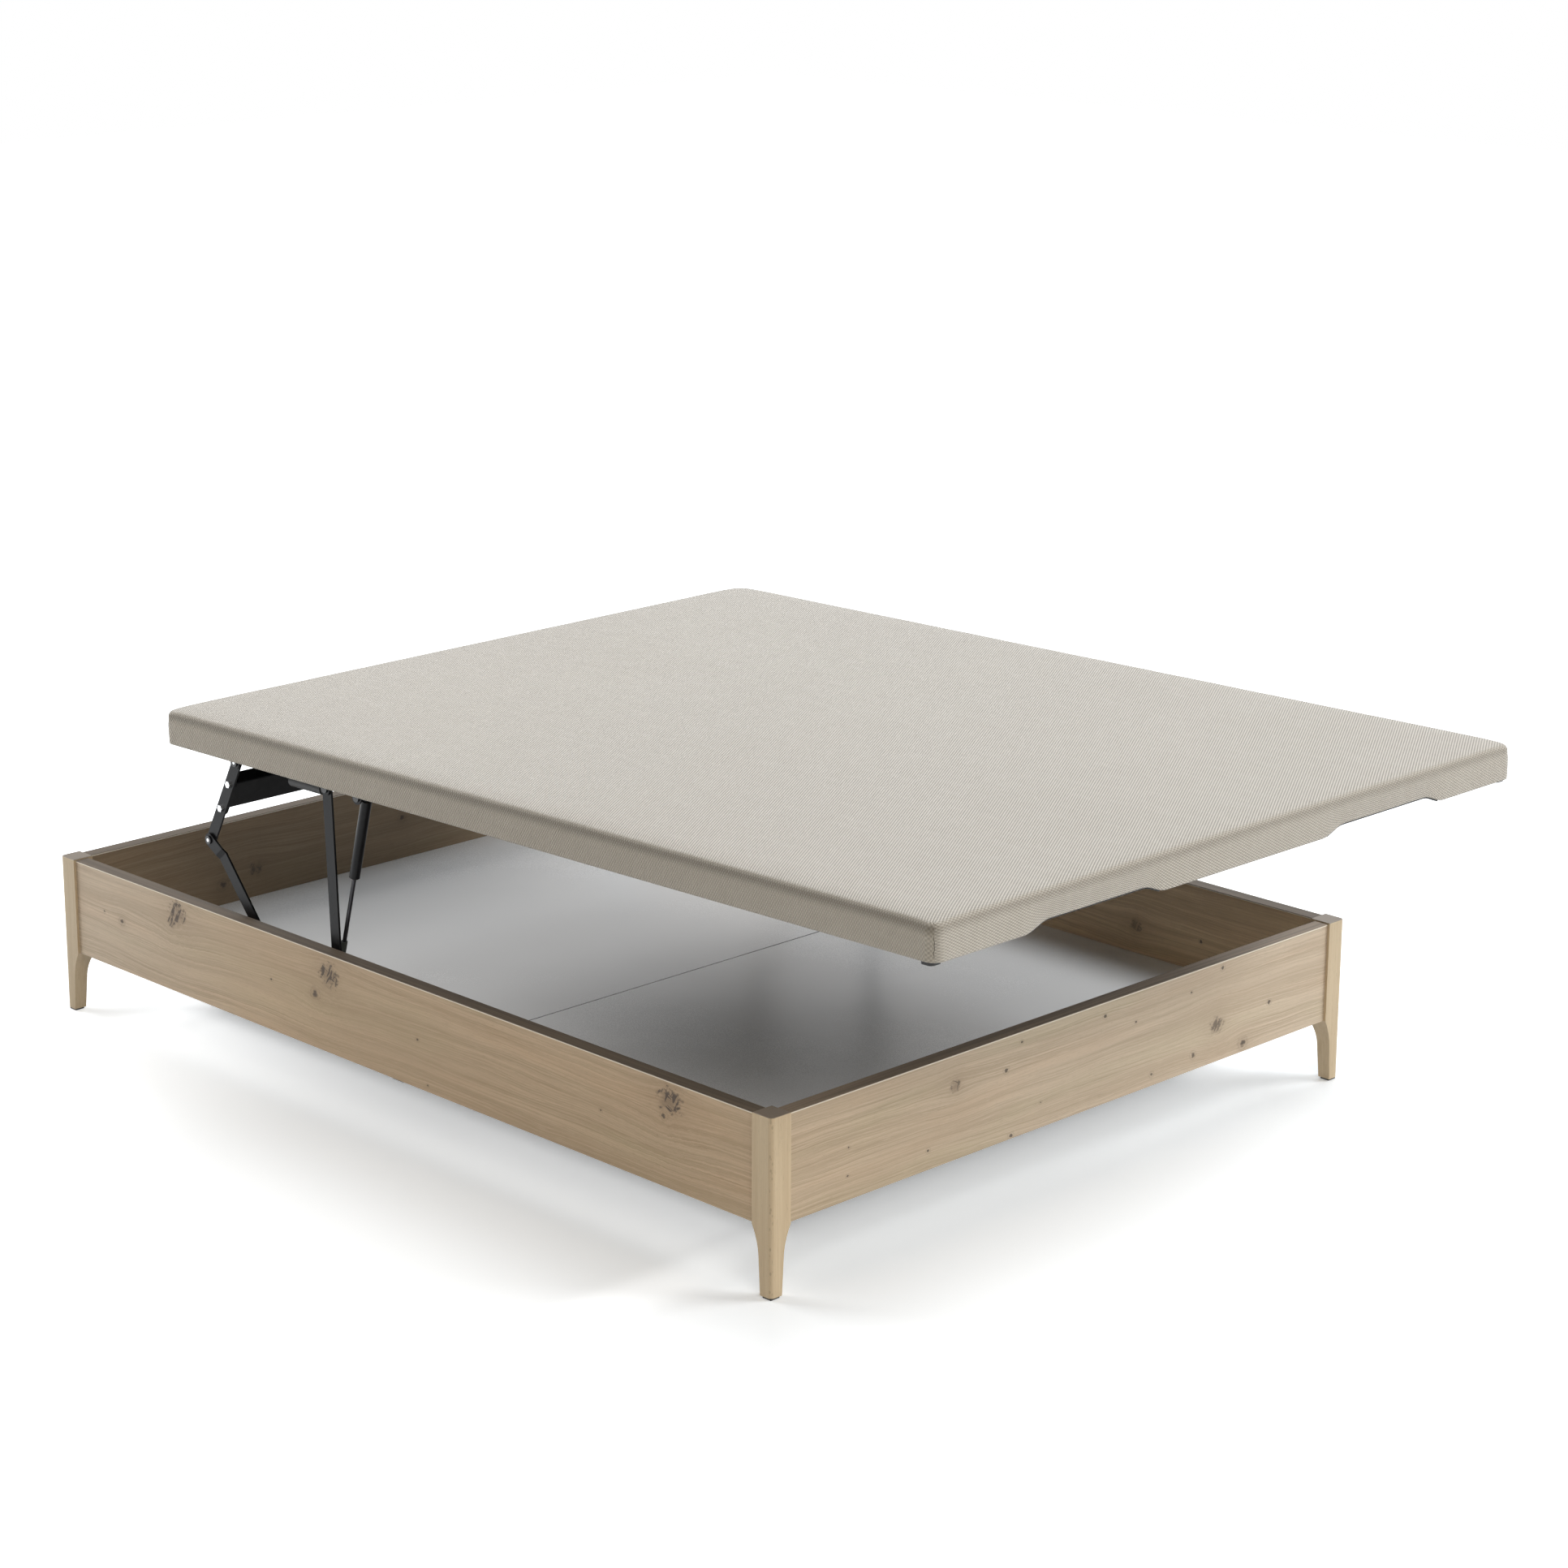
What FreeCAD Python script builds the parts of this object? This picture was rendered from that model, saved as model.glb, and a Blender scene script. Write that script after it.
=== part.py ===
import FreeCAD, Part
import math
import os

# Ottoman bed: a storage base on four legs, with an upholstered lid that rises level on two sides.
# X runs along the bed from the head (-) to the foot (+), Y across it from near (-) to far (+), Z up.
# The origin is the middle of the base on the floor. Lengths are in millimetres.
# The lid stands raised at rest.

Vector = FreeCAD.Vector

# Base box
bed_length = 2000.0
bed_width = 1500.0
leg_height = 318.0
leg_size = 45.0
board_thickness = 30.0
board_height = 191.0
board_setback = 5.0
board_below_leg_top = 2.5
board_edge_round = 1.2

# Legs
leg_foot_size = 25.5
leg_ankle_size = 29.0
leg_ankle_height_share = 0.53
leg_curve_size = 34.5
leg_curve_height_share = 0.803
leg_corner_round = 9.0
leg_top_round = 2.0
glide_height = 4.0
glide_margin = 3.0

# Storage floor
floor_thickness = 8.0
floor_above_board_bottom = 11.5
groove_depth = 8.0
groove_clearance = 0.2
floor_in_groove = 6.0
floor_joint_gap = 1.0
floor_leg_clearance = 1.0
floor_tube_size = 30.0
floor_tube_wall = 2.0
centre_leg_radius = 20.0
centre_leg_plate = 90.0
centre_leg_plate_thickness = 4.0

# Corner brackets and their screws
bracket_cut = 32.0
bracket_flange = 40.0
bracket_thickness = 3.0
bracket_height = 80.0
bracket_above_floor = 46.0
bracket_bend_deg = 45.0
bracket_screw_shares = (0.25, 0.75)
bracket_bolt_radius = 4.0
bracket_bolt_length = 50.0
bracket_bolt_head_radius = 7.5
bracket_bolt_head_height = 5.5

# Wood screws
screw_radius = 2.2
screw_length = 17.0
screw_head_radius = 4.6
screw_head_height = 1.8

# Lid
lid_shorter_than_bed = 15.0
lid_thickness = 68.0
lid_corner_round = 22.0
lid_edge_round = 20.0
lid_tilt_deg = 1.27
lid_open_rise = 295.5
lid_open_shift = 361.0
lid_rest_gap = 0.5
cover_thickness = 1.5
soft_clearance = 0.3
batten_height = 38.0
side_batten_width = 70.0
end_batten_width = 36.0
cross_batten_width = 60.0
cross_batten_count = 3
deck_thickness = 10.0
deck_inset = 4.5
deck_joint_gap = 1.0
pad_round = 16.0
cloth_thickness = 0.9
cloth_side_gap = 2.0
bumper_size = 26.0
bumper_height = 7.0
bumper_head_end_inset = 8.0
bumper_head_side_inset = 18.0
bumper_foot_end_inset = 12.0
bumper_foot_side_inset = 5.0
bumper_round = 8.0

# Hand recesses in the foot end of the lid
recess_inner = 203.0
recess_outer = 547.0
recess_height = 15.5
recess_end_length = 60.0

# Lifting gear: flat steel bars in layers that are counted inward from the face of the side board
plate_thickness = 3.0
rail_layer = 4.0
rail_thickness = 3.0
bar_layer = 8.0
bar_thickness = 4.0
knee_layer = 3.5
bar_width = 25.0
eye_radius = 13.0
pin_radius = 5.0
pin_clearance = 0.06
layer_clearance = 0.3
nut_thickness = 3.2
nut_radius = 8.5
bolt_head_thickness = 2.6
bolt_head_radius = 8.0

# Pivots on the lid, from its head edge and below its underside
pivot_drop = 17.0
yoke_pivot_from_head = 165.0
arm_pivot_from_head = 436.0
strut_pivot_past_arm = 92.0
rail_past_pivots = 19.5
rail_drop = 16.0
rail_flange_width = 30.0
rail_flange_thickness = 2.5
rail_screw_pitch = 80.0
rail_screw_inset = 32.0

# Long arm, with its base pivot below the boards' top
arm_base_below_top = 87.64

# Upper strap, with the cross tube that ties both sides
strap_length = 191.5
strap_angle_deg = 62.1
tube_depth = 30.0
tube_height = 62.0
tube_wall = 2.0
tube_corner_round = 3.0
tube_from_knee = 84.0
tube_front_offset = 10.0
end_plate_start = 65.0
end_plate_length = 86.0
end_plate_thickness = 4.0
strap_bolt_low = 78.0
strap_bolt_high = 137.0
strap_bolt_radius = 4.0
strap_bolt_head_radius = 7.0
strap_bolt_head_height = 4.4

# Lower link, from the knee to the base plate, with its base pivot from the bed's head and below the boards' top
link_base_from_head = 648.0
link_base_below_top = 97.5
knee_tab_length = 34.0
knee_tab_drop_deg = 31.0
joggle_length = 10.0
link_boss_radius = 9.0

# Gas strut, with its base pivot before and above the arm's
strut_base_before_arm = 21.1
strut_base_above_arm = 30.1
strut_layer_middle = 29.0
strut_radius = 10.0
strut_body_length = 172.0
strut_wall = 1.5
strut_end_chamfer = 2.0
strut_rod_radius = 4.0
strut_rod_inside = 20.0
strut_seal_clearance = 0.06
strut_seal_length = 16.0
strut_fitting_radius = 6.0
strut_fitting_length = 55.0
strut_eye_radius = 10.0
strut_eye_thickness = 14.0
strut_pin_radius = 4.0
strut_pin_washer = 7.0

# Base plate, round the base pivots of the link and the arm
base_plate_before_link = 40.0
base_plate_past_arm = 30.9
base_plate_below_pivots = 42.0
base_plate_above_pivots = 34.1
base_plate_round = 12.0
base_plate_screw_inset = 14.0

# Strut bracket, which stands on the base plate and rises on the inner side of the long arm
strut_bracket_foot_before_arm = 35.1
strut_bracket_foot_below_arm = 30.9
strut_bracket_layer = 13.5
strut_bracket_thickness = 4.0
strut_bracket_width = 20.0

# Stop buffer beside the long arm
buffer_radius = 12.0
buffer_length = 92.0
buffer_nose_radius = 10.0
buffer_nose_length = 8.0
buffer_drop = 24.0
buffer_clearance = 0.6
buffer_clip_width = 24.0
buffer_clip_thickness = 2.5
buffer_clip_share = 0.5

# Tools reach this far past what they cut, and edges are found within the tolerance
overrun = 5.0
edge_tolerance = 0.001

# Places worked out from the sizes above
half_length = bed_length / 2
half_width = bed_width / 2
board_top = leg_height - board_below_leg_top
board_bottom = board_top - board_height
side_outer = half_width - board_setback
side_inner = side_outer - board_thickness
end_outer = half_length - board_setback
end_inner = end_outer - board_thickness
leg_inner_x = half_length - leg_size
leg_inner_y = half_width - leg_size
floor_bottom = board_bottom + floor_above_board_bottom
floor_top = floor_bottom + floor_thickness

lid_length = bed_length - lid_shorter_than_bed
lid_width = bed_width
lid_tilt = math.radians(lid_tilt_deg)
lid_closed_x = -lid_length / 2
lid_closed_z = leg_height + bumper_height + lid_rest_gap
lid_head_x = lid_closed_x + lid_open_shift
lid_head_z = lid_closed_z + lid_open_rise
lid_inner = lid_width / 2 - cover_thickness - soft_clearance
lid_end_inset = cover_thickness + soft_clearance
deck_bottom = batten_height
deck_top = deck_bottom + deck_thickness
cloth_seat = cloth_thickness + soft_clearance


def on_lid(along, up):
    """World x and z of a point given along the lid from its head edge, and up from its underside."""
    x = lid_head_x + along * math.cos(lid_tilt) - up * math.sin(lid_tilt)
    z = lid_head_z + along * math.sin(lid_tilt) + up * math.cos(lid_tilt)
    return x, z


def lid_closed(along, up):
    """World x and z of the same point with the lid closed, when it lies level."""
    return lid_closed_x + along, lid_closed_z + up


strut_pivot_from_head = arm_pivot_from_head + strut_pivot_past_arm
rail_start_from_head = yoke_pivot_from_head - rail_past_pivots
rail_end_from_head = strut_pivot_from_head + rail_past_pivots
yoke_pivot = on_lid(yoke_pivot_from_head, -pivot_drop)
arm_pivot = on_lid(arm_pivot_from_head, -pivot_drop)
strut_pivot = on_lid(strut_pivot_from_head, -pivot_drop)

# The long arm's base pivot is as far from its lid pivot with the lid closed as with the lid raised
arm_closed = lid_closed(arm_pivot_from_head, -pivot_drop)
arm_base_z = board_top - arm_base_below_top
arm_shift = arm_pivot[0] - arm_closed[0]
arm_rise = arm_pivot[1] - arm_closed[1]
arm_middle = ((arm_pivot[0] + arm_closed[0]) / 2, (arm_pivot[1] + arm_closed[1]) / 2)
arm_base = (arm_middle[0] + (arm_middle[1] - arm_base_z) * arm_rise / arm_shift, arm_base_z)

strap_up = (math.cos(math.radians(strap_angle_deg)), math.sin(math.radians(strap_angle_deg)))
strap_front = (strap_up[1], -strap_up[0])
knee = (yoke_pivot[0] - strap_length * strap_up[0], yoke_pivot[1] - strap_length * strap_up[1])
link_base = (link_base_from_head - half_length, board_top - link_base_below_top)
strut_base = (arm_base[0] - strut_base_before_arm, arm_base[1] + strut_base_above_arm)
strut_bracket_foot = (arm_base[0] - strut_bracket_foot_before_arm, arm_base[1] - strut_bracket_foot_below_arm)
base_plate_start_x = link_base[0] - base_plate_before_link
base_plate_end_x = arm_base[0] + base_plate_past_arm
base_plate_low_z = min(link_base[1], arm_base[1]) - base_plate_below_pivots
base_plate_high_z = max(link_base[1], arm_base[1]) + base_plate_above_pivots


def inward(distance):
    """Y of a layer on the near side, counted inward from the face of the side board."""
    return distance - side_inner


def box(x0, x1, y0, y1, z0, z1):
    """A box between two corners."""
    return Part.makeBox(x1 - x0, y1 - y0, z1 - z0, Vector(x0, y0, z0))


def across(point, radius, y0, y1):
    """A cylinder along Y round an x, z point."""
    return Part.makeCylinder(radius, y1 - y0, Vector(point[0], y0, point[1]), Vector(0, 1, 0))


def prism(points, y0, y1):
    """A plate with an x, z outline between two Y planes."""
    corners = [Vector(x, y0, z) for x, z in points]
    face = Part.Face(Part.makePolygon(corners + corners[:1]))
    return face.extrude(Vector(0, y1 - y0, 0))


def hexagon(point, radius, y0, y1):
    """A hexagonal head or nut along Y."""
    corners = []
    for step in range(6):
        angle = math.radians(60 * step)
        corners.append((point[0] + radius * math.cos(angle), point[1] + radius * math.sin(angle)))
    return prism(corners, y0, y1)


def along_line(start, direction, distance, aside=0.0):
    """The point at a distance along a direction, moved aside to its right-hand side."""
    x = start[0] + direction[0] * distance + direction[1] * aside
    z = start[1] + direction[1] * distance - direction[0] * aside
    return x, z


def unit(start, end):
    """The unit direction from one x, z point to another."""
    length = math.hypot(end[0] - start[0], end[1] - start[1])
    return (end[0] - start[0]) / length, (end[1] - start[1]) / length


def bar(start, end, width, y0, y1):
    """A flat bar with rounded ends between two x, z points."""
    direction = unit(start, end)
    length = math.hypot(end[0] - start[0], end[1] - start[1])
    half = width / 2
    outline = [along_line(start, direction, 0.0, -half), along_line(start, direction, 0.0, half),
               along_line(start, direction, length, half), along_line(start, direction, length, -half)]
    body = prism(outline, y0, y1)
    return body.fuse([across(start, half, y0, y1), across(end, half, y0, y1)]).removeSplitter()


def fuse(shapes):
    """One solid from overlapping or touching solids."""
    return shapes[0].fuse(shapes[1:]).removeSplitter()


def cut(shape, tools):
    """A shape with every tool cut away."""
    return shape.cut(Part.makeCompound(tools)) if tools else shape


def edges_along(shape, axis, test):
    """The straight edges that run along an axis and whose middle passes a test."""
    found = []
    for edge in shape.Edges:
        if edge.Curve.TypeId != "Part::GeomLine" or abs(edge.Curve.Direction.dot(axis)) < 0.999:
            continue
        if test(edge.CenterOfMass):
            found.append(edge)
    return found


def mirrored_y(shape):
    """The far side's copy of a near side shape."""
    return shape.mirror(Vector(0, 0, 0), Vector(0, 1, 0))


def mirrored_x(shape):
    """The head end's copy of a foot end shape."""
    return shape.mirror(Vector(0, 0, 0), Vector(1, 0, 0))


def group(shapes):
    """Separate solids that share one node."""
    return Part.makeCompound(shapes)


def lid_place(shape):
    """Moves a shape from the lid's own frame, head edge and underside at zero, to the raised lid."""
    placed = shape.copy()
    placed.rotate(Vector(0, 0, 0), Vector(0, -1, 0), lid_tilt_deg)
    placed.translate(Vector(lid_head_x, 0, lid_head_z))
    return placed


def both_sides(name, shape):
    """Nodes for the near side's shape and its far side copy."""
    return {name + "_near": shape, name + "_far": mirrored_y(shape)}


# Base

def leg_profile():
    """Outline of a leg from one side: the outer face is straight, the inner one curves in below the board."""
    outer = half_length
    top = leg_height
    corners = {
        "foot_out": Vector(outer, 0, glide_height),
        "top_out": Vector(outer, 0, top),
        "top_in": Vector(outer - leg_size, 0, top),
        "shoulder": Vector(outer - leg_size, 0, board_bottom),
        "curve": Vector(outer - leg_curve_size, 0, board_bottom * leg_curve_height_share),
        "ankle": Vector(outer - leg_ankle_size, 0, board_bottom * leg_ankle_height_share),
        "foot_in": Vector(outer - leg_foot_size, 0, glide_height),
    }
    edges = [
        Part.makeLine(corners["foot_out"], corners["top_out"]),
        Part.makeLine(corners["top_out"], corners["top_in"]),
        Part.makeLine(corners["top_in"], corners["shoulder"]),
        Part.Arc(corners["shoulder"], corners["curve"], corners["ankle"]).toShape(),
        Part.makeLine(corners["ankle"], corners["foot_in"]),
        Part.makeLine(corners["foot_in"], corners["foot_out"]),
    ]
    return Part.Face(Part.Wire(edges))


def make_leg():
    """The leg at the foot end on the far side."""
    face = leg_profile()
    face.translate(Vector(0, leg_inner_y, 0))
    along_x = face.extrude(Vector(0, leg_size, 0))
    turned = leg_profile()
    turned.rotate(Vector(0, 0, 0), Vector(0, 0, 1), 90)
    turned.translate(Vector(leg_inner_x, half_width - half_length, 0))
    along_y = turned.extrude(Vector(leg_size, 0, 0))
    leg = along_x.common(along_y)
    outer_x = half_length - edge_tolerance
    outer_y = half_width - edge_tolerance
    corner = edges_along(leg, Vector(0, 0, 1), lambda p: p.x > outer_x and p.y > outer_y)
    leg = leg.makeFillet(leg_corner_round, corner)
    inner_x = leg_inner_x + edge_tolerance
    inner_y = leg_inner_y + edge_tolerance
    inside = edges_along(leg, Vector(0, 0, 1), lambda p: p.x < inner_x and p.y < inner_y)
    leg = leg.makeFillet(leg_top_round, inside)
    rim = [edge for edge in leg.Edges if edge.BoundBox.ZMin > leg_height - edge_tolerance]
    return leg.makeFillet(leg_top_round, rim)


def make_glide():
    """The plastic glide under the same leg."""
    size = leg_foot_size - glide_margin
    return box(half_length - size, half_length - glide_margin, half_width - size, half_width - glide_margin,
               0.0, glide_height)


def four_corners(shape):
    """Copies of a foot end, far side shape at all four corners, by name."""
    near = mirrored_y(shape)
    return {"foot_far": shape, "foot_near": near, "head_far": mirrored_x(shape), "head_near": mirrored_x(near)}


def make_bracket():
    """The bent plate inside one corner, from side board to end board."""
    kink = bracket_thickness * math.tan(math.radians(bracket_bend_deg / 2))
    low = floor_top + bracket_above_floor
    inside_x = end_inner - bracket_thickness
    inside_y = side_inner - bracket_thickness
    reach = bracket_cut + bracket_flange
    outline = [
        Vector(end_inner - reach, side_inner, low), Vector(end_inner - bracket_cut, side_inner, low),
        Vector(end_inner, side_inner - bracket_cut, low), Vector(end_inner, side_inner - reach, low),
        Vector(inside_x, side_inner - reach, low), Vector(inside_x, side_inner - bracket_cut - kink, low),
        Vector(end_inner - bracket_cut - kink, inside_y, low), Vector(end_inner - reach, inside_y, low),
    ]
    face = Part.Face(Part.makePolygon(outline + outline[:1]))
    return face.extrude(Vector(0, 0, bracket_height))


def screw(head, direction):
    """A pan-head wood screw whose head sits on a face at a point and whose shank goes along a direction."""
    top = Part.makeCylinder(screw_head_radius, screw_head_height, head, direction * -1)
    shank = Part.makeCylinder(screw_radius, screw_length, head, direction)
    return fuse([top, shank])


def make_bracket_bolt():
    """The bolt from a bracket's slanted plate into its leg."""
    low = floor_top + bracket_above_floor
    middle = bracket_cut / 2
    inset = bracket_thickness / math.sqrt(2)
    face = Vector(end_inner - middle - inset, side_inner - middle - inset, low + bracket_height / 2)
    direction = Vector(1, 1, 0).normalize()
    shank = Part.makeCylinder(bracket_bolt_radius, bracket_bolt_length, face, direction)
    head = Part.makeCylinder(bracket_bolt_head_radius, bracket_bolt_head_height, face, direction * -1)
    return fuse([shank, head])


def make_bracket_screws():
    """The four wood screws of one bracket, two in each board."""
    low = floor_top + bracket_above_floor
    middle = bracket_cut + bracket_flange / 2
    screws = []
    for share in bracket_screw_shares:
        z = low + bracket_height * share
        screws.append(screw(Vector(end_inner - middle, side_inner - bracket_thickness, z), Vector(0, 1, 0)))
        screws.append(screw(Vector(end_inner - bracket_thickness, side_inner - middle, z), Vector(1, 0, 0)))
    return screws


def make_side_board():
    """The near side board, with the groove for the storage floor."""
    board = box(-leg_inner_x, leg_inner_x, -side_outer, -side_inner, board_bottom, board_top)
    board = board.makeFillet(board_edge_round, edges_along(board, Vector(1, 0, 0), lambda p: True))
    groove = box(-half_length, half_length, -side_inner - groove_depth, -side_inner + overrun,
                 floor_bottom - groove_clearance, floor_top + groove_clearance)
    return board.cut(groove)


def make_end_board():
    """The foot board, with the groove for the storage floor."""
    board = box(end_inner, end_outer, -leg_inner_y, leg_inner_y, board_bottom, board_top)
    board = board.makeFillet(board_edge_round, edges_along(board, Vector(0, 1, 0), lambda p: True))
    groove = box(end_inner - overrun, end_inner + groove_depth, -half_width, half_width,
                 floor_bottom - groove_clearance, floor_top + groove_clearance)
    return board.cut(groove)


def make_floor_panel():
    """The foot half of the storage floor, notched round the legs."""
    panel = box(floor_joint_gap / 2, end_inner + floor_in_groove, -side_inner - floor_in_groove,
                side_inner + floor_in_groove, floor_bottom, floor_top)
    notch_x = leg_inner_x - floor_leg_clearance
    notch_y = leg_inner_y - floor_leg_clearance
    notches = [
        box(notch_x, half_length, notch_y, half_width, floor_bottom - overrun, floor_top + overrun),
        box(notch_x, half_length, -half_width, -notch_y, floor_bottom - overrun, floor_top + overrun),
    ]
    return cut(panel, notches)


def make_floor_tube():
    """The square steel tube under the joint of the storage floor."""
    half = floor_tube_size / 2
    low = floor_bottom - floor_tube_size
    outer = box(-half, half, -side_inner, side_inner, low, floor_bottom)
    inner = box(floor_tube_wall - half, half - floor_tube_wall, -side_inner - overrun, side_inner + overrun,
                low + floor_tube_wall, floor_bottom - floor_tube_wall)
    return outer.cut(inner)


def make_centre_leg():
    """The round middle leg with its top plate, under the floor tube."""
    top = floor_bottom - floor_tube_size
    plate_low = top - centre_leg_plate_thickness
    half = centre_leg_plate / 2
    plate = box(-half, half, -half, half, plate_low, top)
    post = Part.makeCylinder(centre_leg_radius, plate_low - glide_height, Vector(0, 0, glide_height))
    return fuse([plate, post])


def make_base_plate():
    """The near side's steel plate with the bosses that carry the arm, the link and the strut."""
    y0 = inward(0.0)
    y1 = inward(plate_thickness)
    plate = box(base_plate_start_x, base_plate_end_x, y0, y1, base_plate_low_z, base_plate_high_z)
    plate = plate.makeFillet(base_plate_round, edges_along(plate, Vector(0, 1, 0), lambda p: True))
    boss_end = inward(bar_layer - layer_clearance)
    bosses = [
        across(arm_base, link_boss_radius, y1, boss_end),
        across(link_base, link_boss_radius, y1, boss_end),
    ]
    bracket_start = inward(strut_bracket_layer)
    bracket_end = inward(strut_bracket_layer + strut_bracket_thickness)
    stud_end = inward(strut_layer_middle - strut_eye_thickness / 2 - layer_clearance)
    post = across(strut_bracket_foot, strut_bracket_width / 2, y1, bracket_start)
    arm = bar(strut_bracket_foot, strut_base, strut_bracket_width, bracket_start, bracket_end)
    stud = across(strut_base, strut_pin_radius, bracket_end, stud_end)
    return fuse([plate] + bosses + [post, arm, stud])


def make_base_plate_screws():
    """The wood screws of the near side's base plate."""
    y = inward(plate_thickness)
    xs = (base_plate_start_x + base_plate_screw_inset, (link_base[0] + strut_base[0]) / 2,
          base_plate_end_x - base_plate_screw_inset)
    zs = (base_plate_low_z + base_plate_screw_inset, base_plate_high_z - base_plate_screw_inset)
    return [screw(Vector(x, y, z), Vector(0, -1, 0)) for x in xs for z in zs]


def make_base_pin():
    """The near side's pivot pin of the long arm, from the base plate through the arm to its nut."""
    start = inward(0.0)
    bar_end = bar_layer + bar_thickness
    nut_start = inward(bar_end + layer_clearance)
    pin = across(arm_base, pin_radius, start, inward(bar_end + layer_clearance + nut_thickness))
    nut = hexagon(arm_base, nut_radius, nut_start, nut_start + nut_thickness)
    return fuse([pin, nut])


# Moving bars

def make_long_arm():
    """The near side's long arm, with its two pivot holes."""
    y0 = inward(bar_layer)
    y1 = inward(bar_layer + bar_thickness)
    arm = bar(arm_base, arm_pivot, bar_width, y0, y1)
    holes = [across(point, pin_radius + pin_clearance, y0 - overrun, y1 + overrun)
             for point in (arm_base, arm_pivot)]
    return cut(arm, holes)


def link_points():
    """The end of the knee tab and the start of the link's long part."""
    drop = math.radians(knee_tab_drop_deg)
    tab_end = (knee[0] + knee_tab_length * math.cos(drop), knee[1] - knee_tab_length * math.sin(drop))
    direction = unit(tab_end, link_base)
    return tab_end, along_line(tab_end, direction, joggle_length), direction


def cross_section(point, direction, width, y0, y1):
    """A rectangular wire across a bar at a point."""
    half = width / 2
    low = along_line(point, direction, 0.0, half)
    high = along_line(point, direction, 0.0, -half)
    corners = [Vector(low[0], y0, low[1]), Vector(high[0], y0, high[1]),
               Vector(high[0], y1, high[1]), Vector(low[0], y1, low[1])]
    return Part.makePolygon(corners + corners[:1])


def make_lower_link():
    """The near side's lower link: an outer tab at the knee, a joggle inward and the long bar to the base."""
    tab_end, bar_start, direction = link_points()
    tab0 = inward(knee_layer)
    tab1 = inward(knee_layer + bar_thickness)
    bar0 = inward(bar_layer)
    bar1 = inward(bar_layer + bar_thickness)
    half = bar_width / 2
    tab_direction = unit(knee, tab_end)
    tab_outline = [along_line(knee, tab_direction, 0.0, half), along_line(tab_end, direction, 0.0, half),
                   along_line(tab_end, direction, 0.0, -half), along_line(knee, tab_direction, 0.0, -half)]
    tab = prism(tab_outline, tab0, tab1)
    joggle = Part.makeLoft([cross_section(tab_end, direction, bar_width, tab0, tab1),
                            cross_section(bar_start, direction, bar_width, bar0, bar1)], True, True)
    length = math.hypot(link_base[0] - bar_start[0], link_base[1] - bar_start[1])
    bar_end = along_line(bar_start, direction, length)
    long_outline = [along_line(bar_start, direction, 0.0, half), along_line(bar_end, direction, 0.0, half),
                    along_line(bar_end, direction, 0.0, -half), along_line(bar_start, direction, 0.0, -half)]
    long_bar = prism(long_outline, bar0, bar1)
    ends = [across(knee, half, tab0, tab1), across(link_base, half, bar0, bar1)]
    link = fuse([tab, joggle, long_bar] + ends)
    hole = across(knee, pin_radius + pin_clearance, tab0 - overrun, tab1 + overrun)
    return link.cut(hole)


def make_link_bolt():
    """The near side's bolt head on the lower link, at the base pivot."""
    start = inward(bar_layer + bar_thickness)
    return hexagon(link_base, nut_radius, start, start + nut_thickness)


def make_strap():
    """The near side's upper strap, with its pivot hole and its bolt holes."""
    y0 = inward(bar_layer)
    y1 = inward(bar_layer + bar_thickness)
    strap = bar(knee, yoke_pivot, bar_width, y0, y1)
    holes = [across(yoke_pivot, pin_radius + pin_clearance, y0 - overrun, y1 + overrun),
             across(knee, pin_radius, y0 - overrun, y1 + overrun)]
    for place in (strap_bolt_low, strap_bolt_high):
        holes.append(across(along_line(knee, strap_up, place), strap_bolt_radius, y0 - overrun, y1 + overrun))
    return cut(strap, holes)


def make_end_plate():
    """The near side's end plate of the cross tube, behind the strap."""
    y0 = inward(bar_layer + bar_thickness)
    y1 = y0 + end_plate_thickness
    half = bar_width / 2
    start = along_line(knee, strap_up, end_plate_start + half)
    end = along_line(knee, strap_up, end_plate_start + end_plate_length - half)
    plate = bar(start, end, bar_width, y0, y1)
    holes = [across(along_line(knee, strap_up, place), strap_bolt_radius, y0 - overrun, y1 + overrun)
             for place in (strap_bolt_low, strap_bolt_high)]
    return cut(plate, holes)


def make_strap_bolts():
    """The near side's two hexagon bolts through strap and end plate."""
    head_end = inward(bar_layer)
    bolts = []
    for place in (strap_bolt_low, strap_bolt_high):
        point = along_line(knee, strap_up, place)
        head = hexagon(point, strap_bolt_head_radius, head_end - strap_bolt_head_height, head_end)
        shank = across(point, strap_bolt_radius, head_end, head_end + bar_thickness + end_plate_thickness)
        bolts.append(fuse([head, shank]))
    return bolts


def make_knee_rivet():
    """The near side's knee rivet, fixed in the strap and turning in the link."""
    tab_face = inward(knee_layer - layer_clearance)
    strap_end = inward(bar_layer + bar_thickness)
    head = across(knee, bolt_head_radius, tab_face - bolt_head_thickness, tab_face)
    shank = across(knee, pin_radius, tab_face, strap_end)
    tail = across(knee, bolt_head_radius, strap_end, strap_end + bolt_head_thickness)
    return fuse([head, shank, tail])


def make_cross_tube():
    """The wide tube from end plate to end plate, which keeps both sides in step."""
    start = inward(bar_layer + bar_thickness + end_plate_thickness)
    back = tube_front_offset - tube_depth

    def block(margin, y0, y1):
        low = tube_from_knee + margin
        high = tube_from_knee + tube_height - margin
        outline = [along_line(knee, strap_up, low, back + margin),
                   along_line(knee, strap_up, high, back + margin),
                   along_line(knee, strap_up, high, tube_front_offset - margin),
                   along_line(knee, strap_up, low, tube_front_offset - margin)]
        return prism(outline, y0, y1)

    outer = block(0.0, start, -start)
    outer = outer.makeFillet(tube_corner_round, edges_along(outer, Vector(0, 1, 0), lambda p: True))
    return outer.cut(block(tube_wall, start - overrun, overrun - start))


# Gas strut

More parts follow.
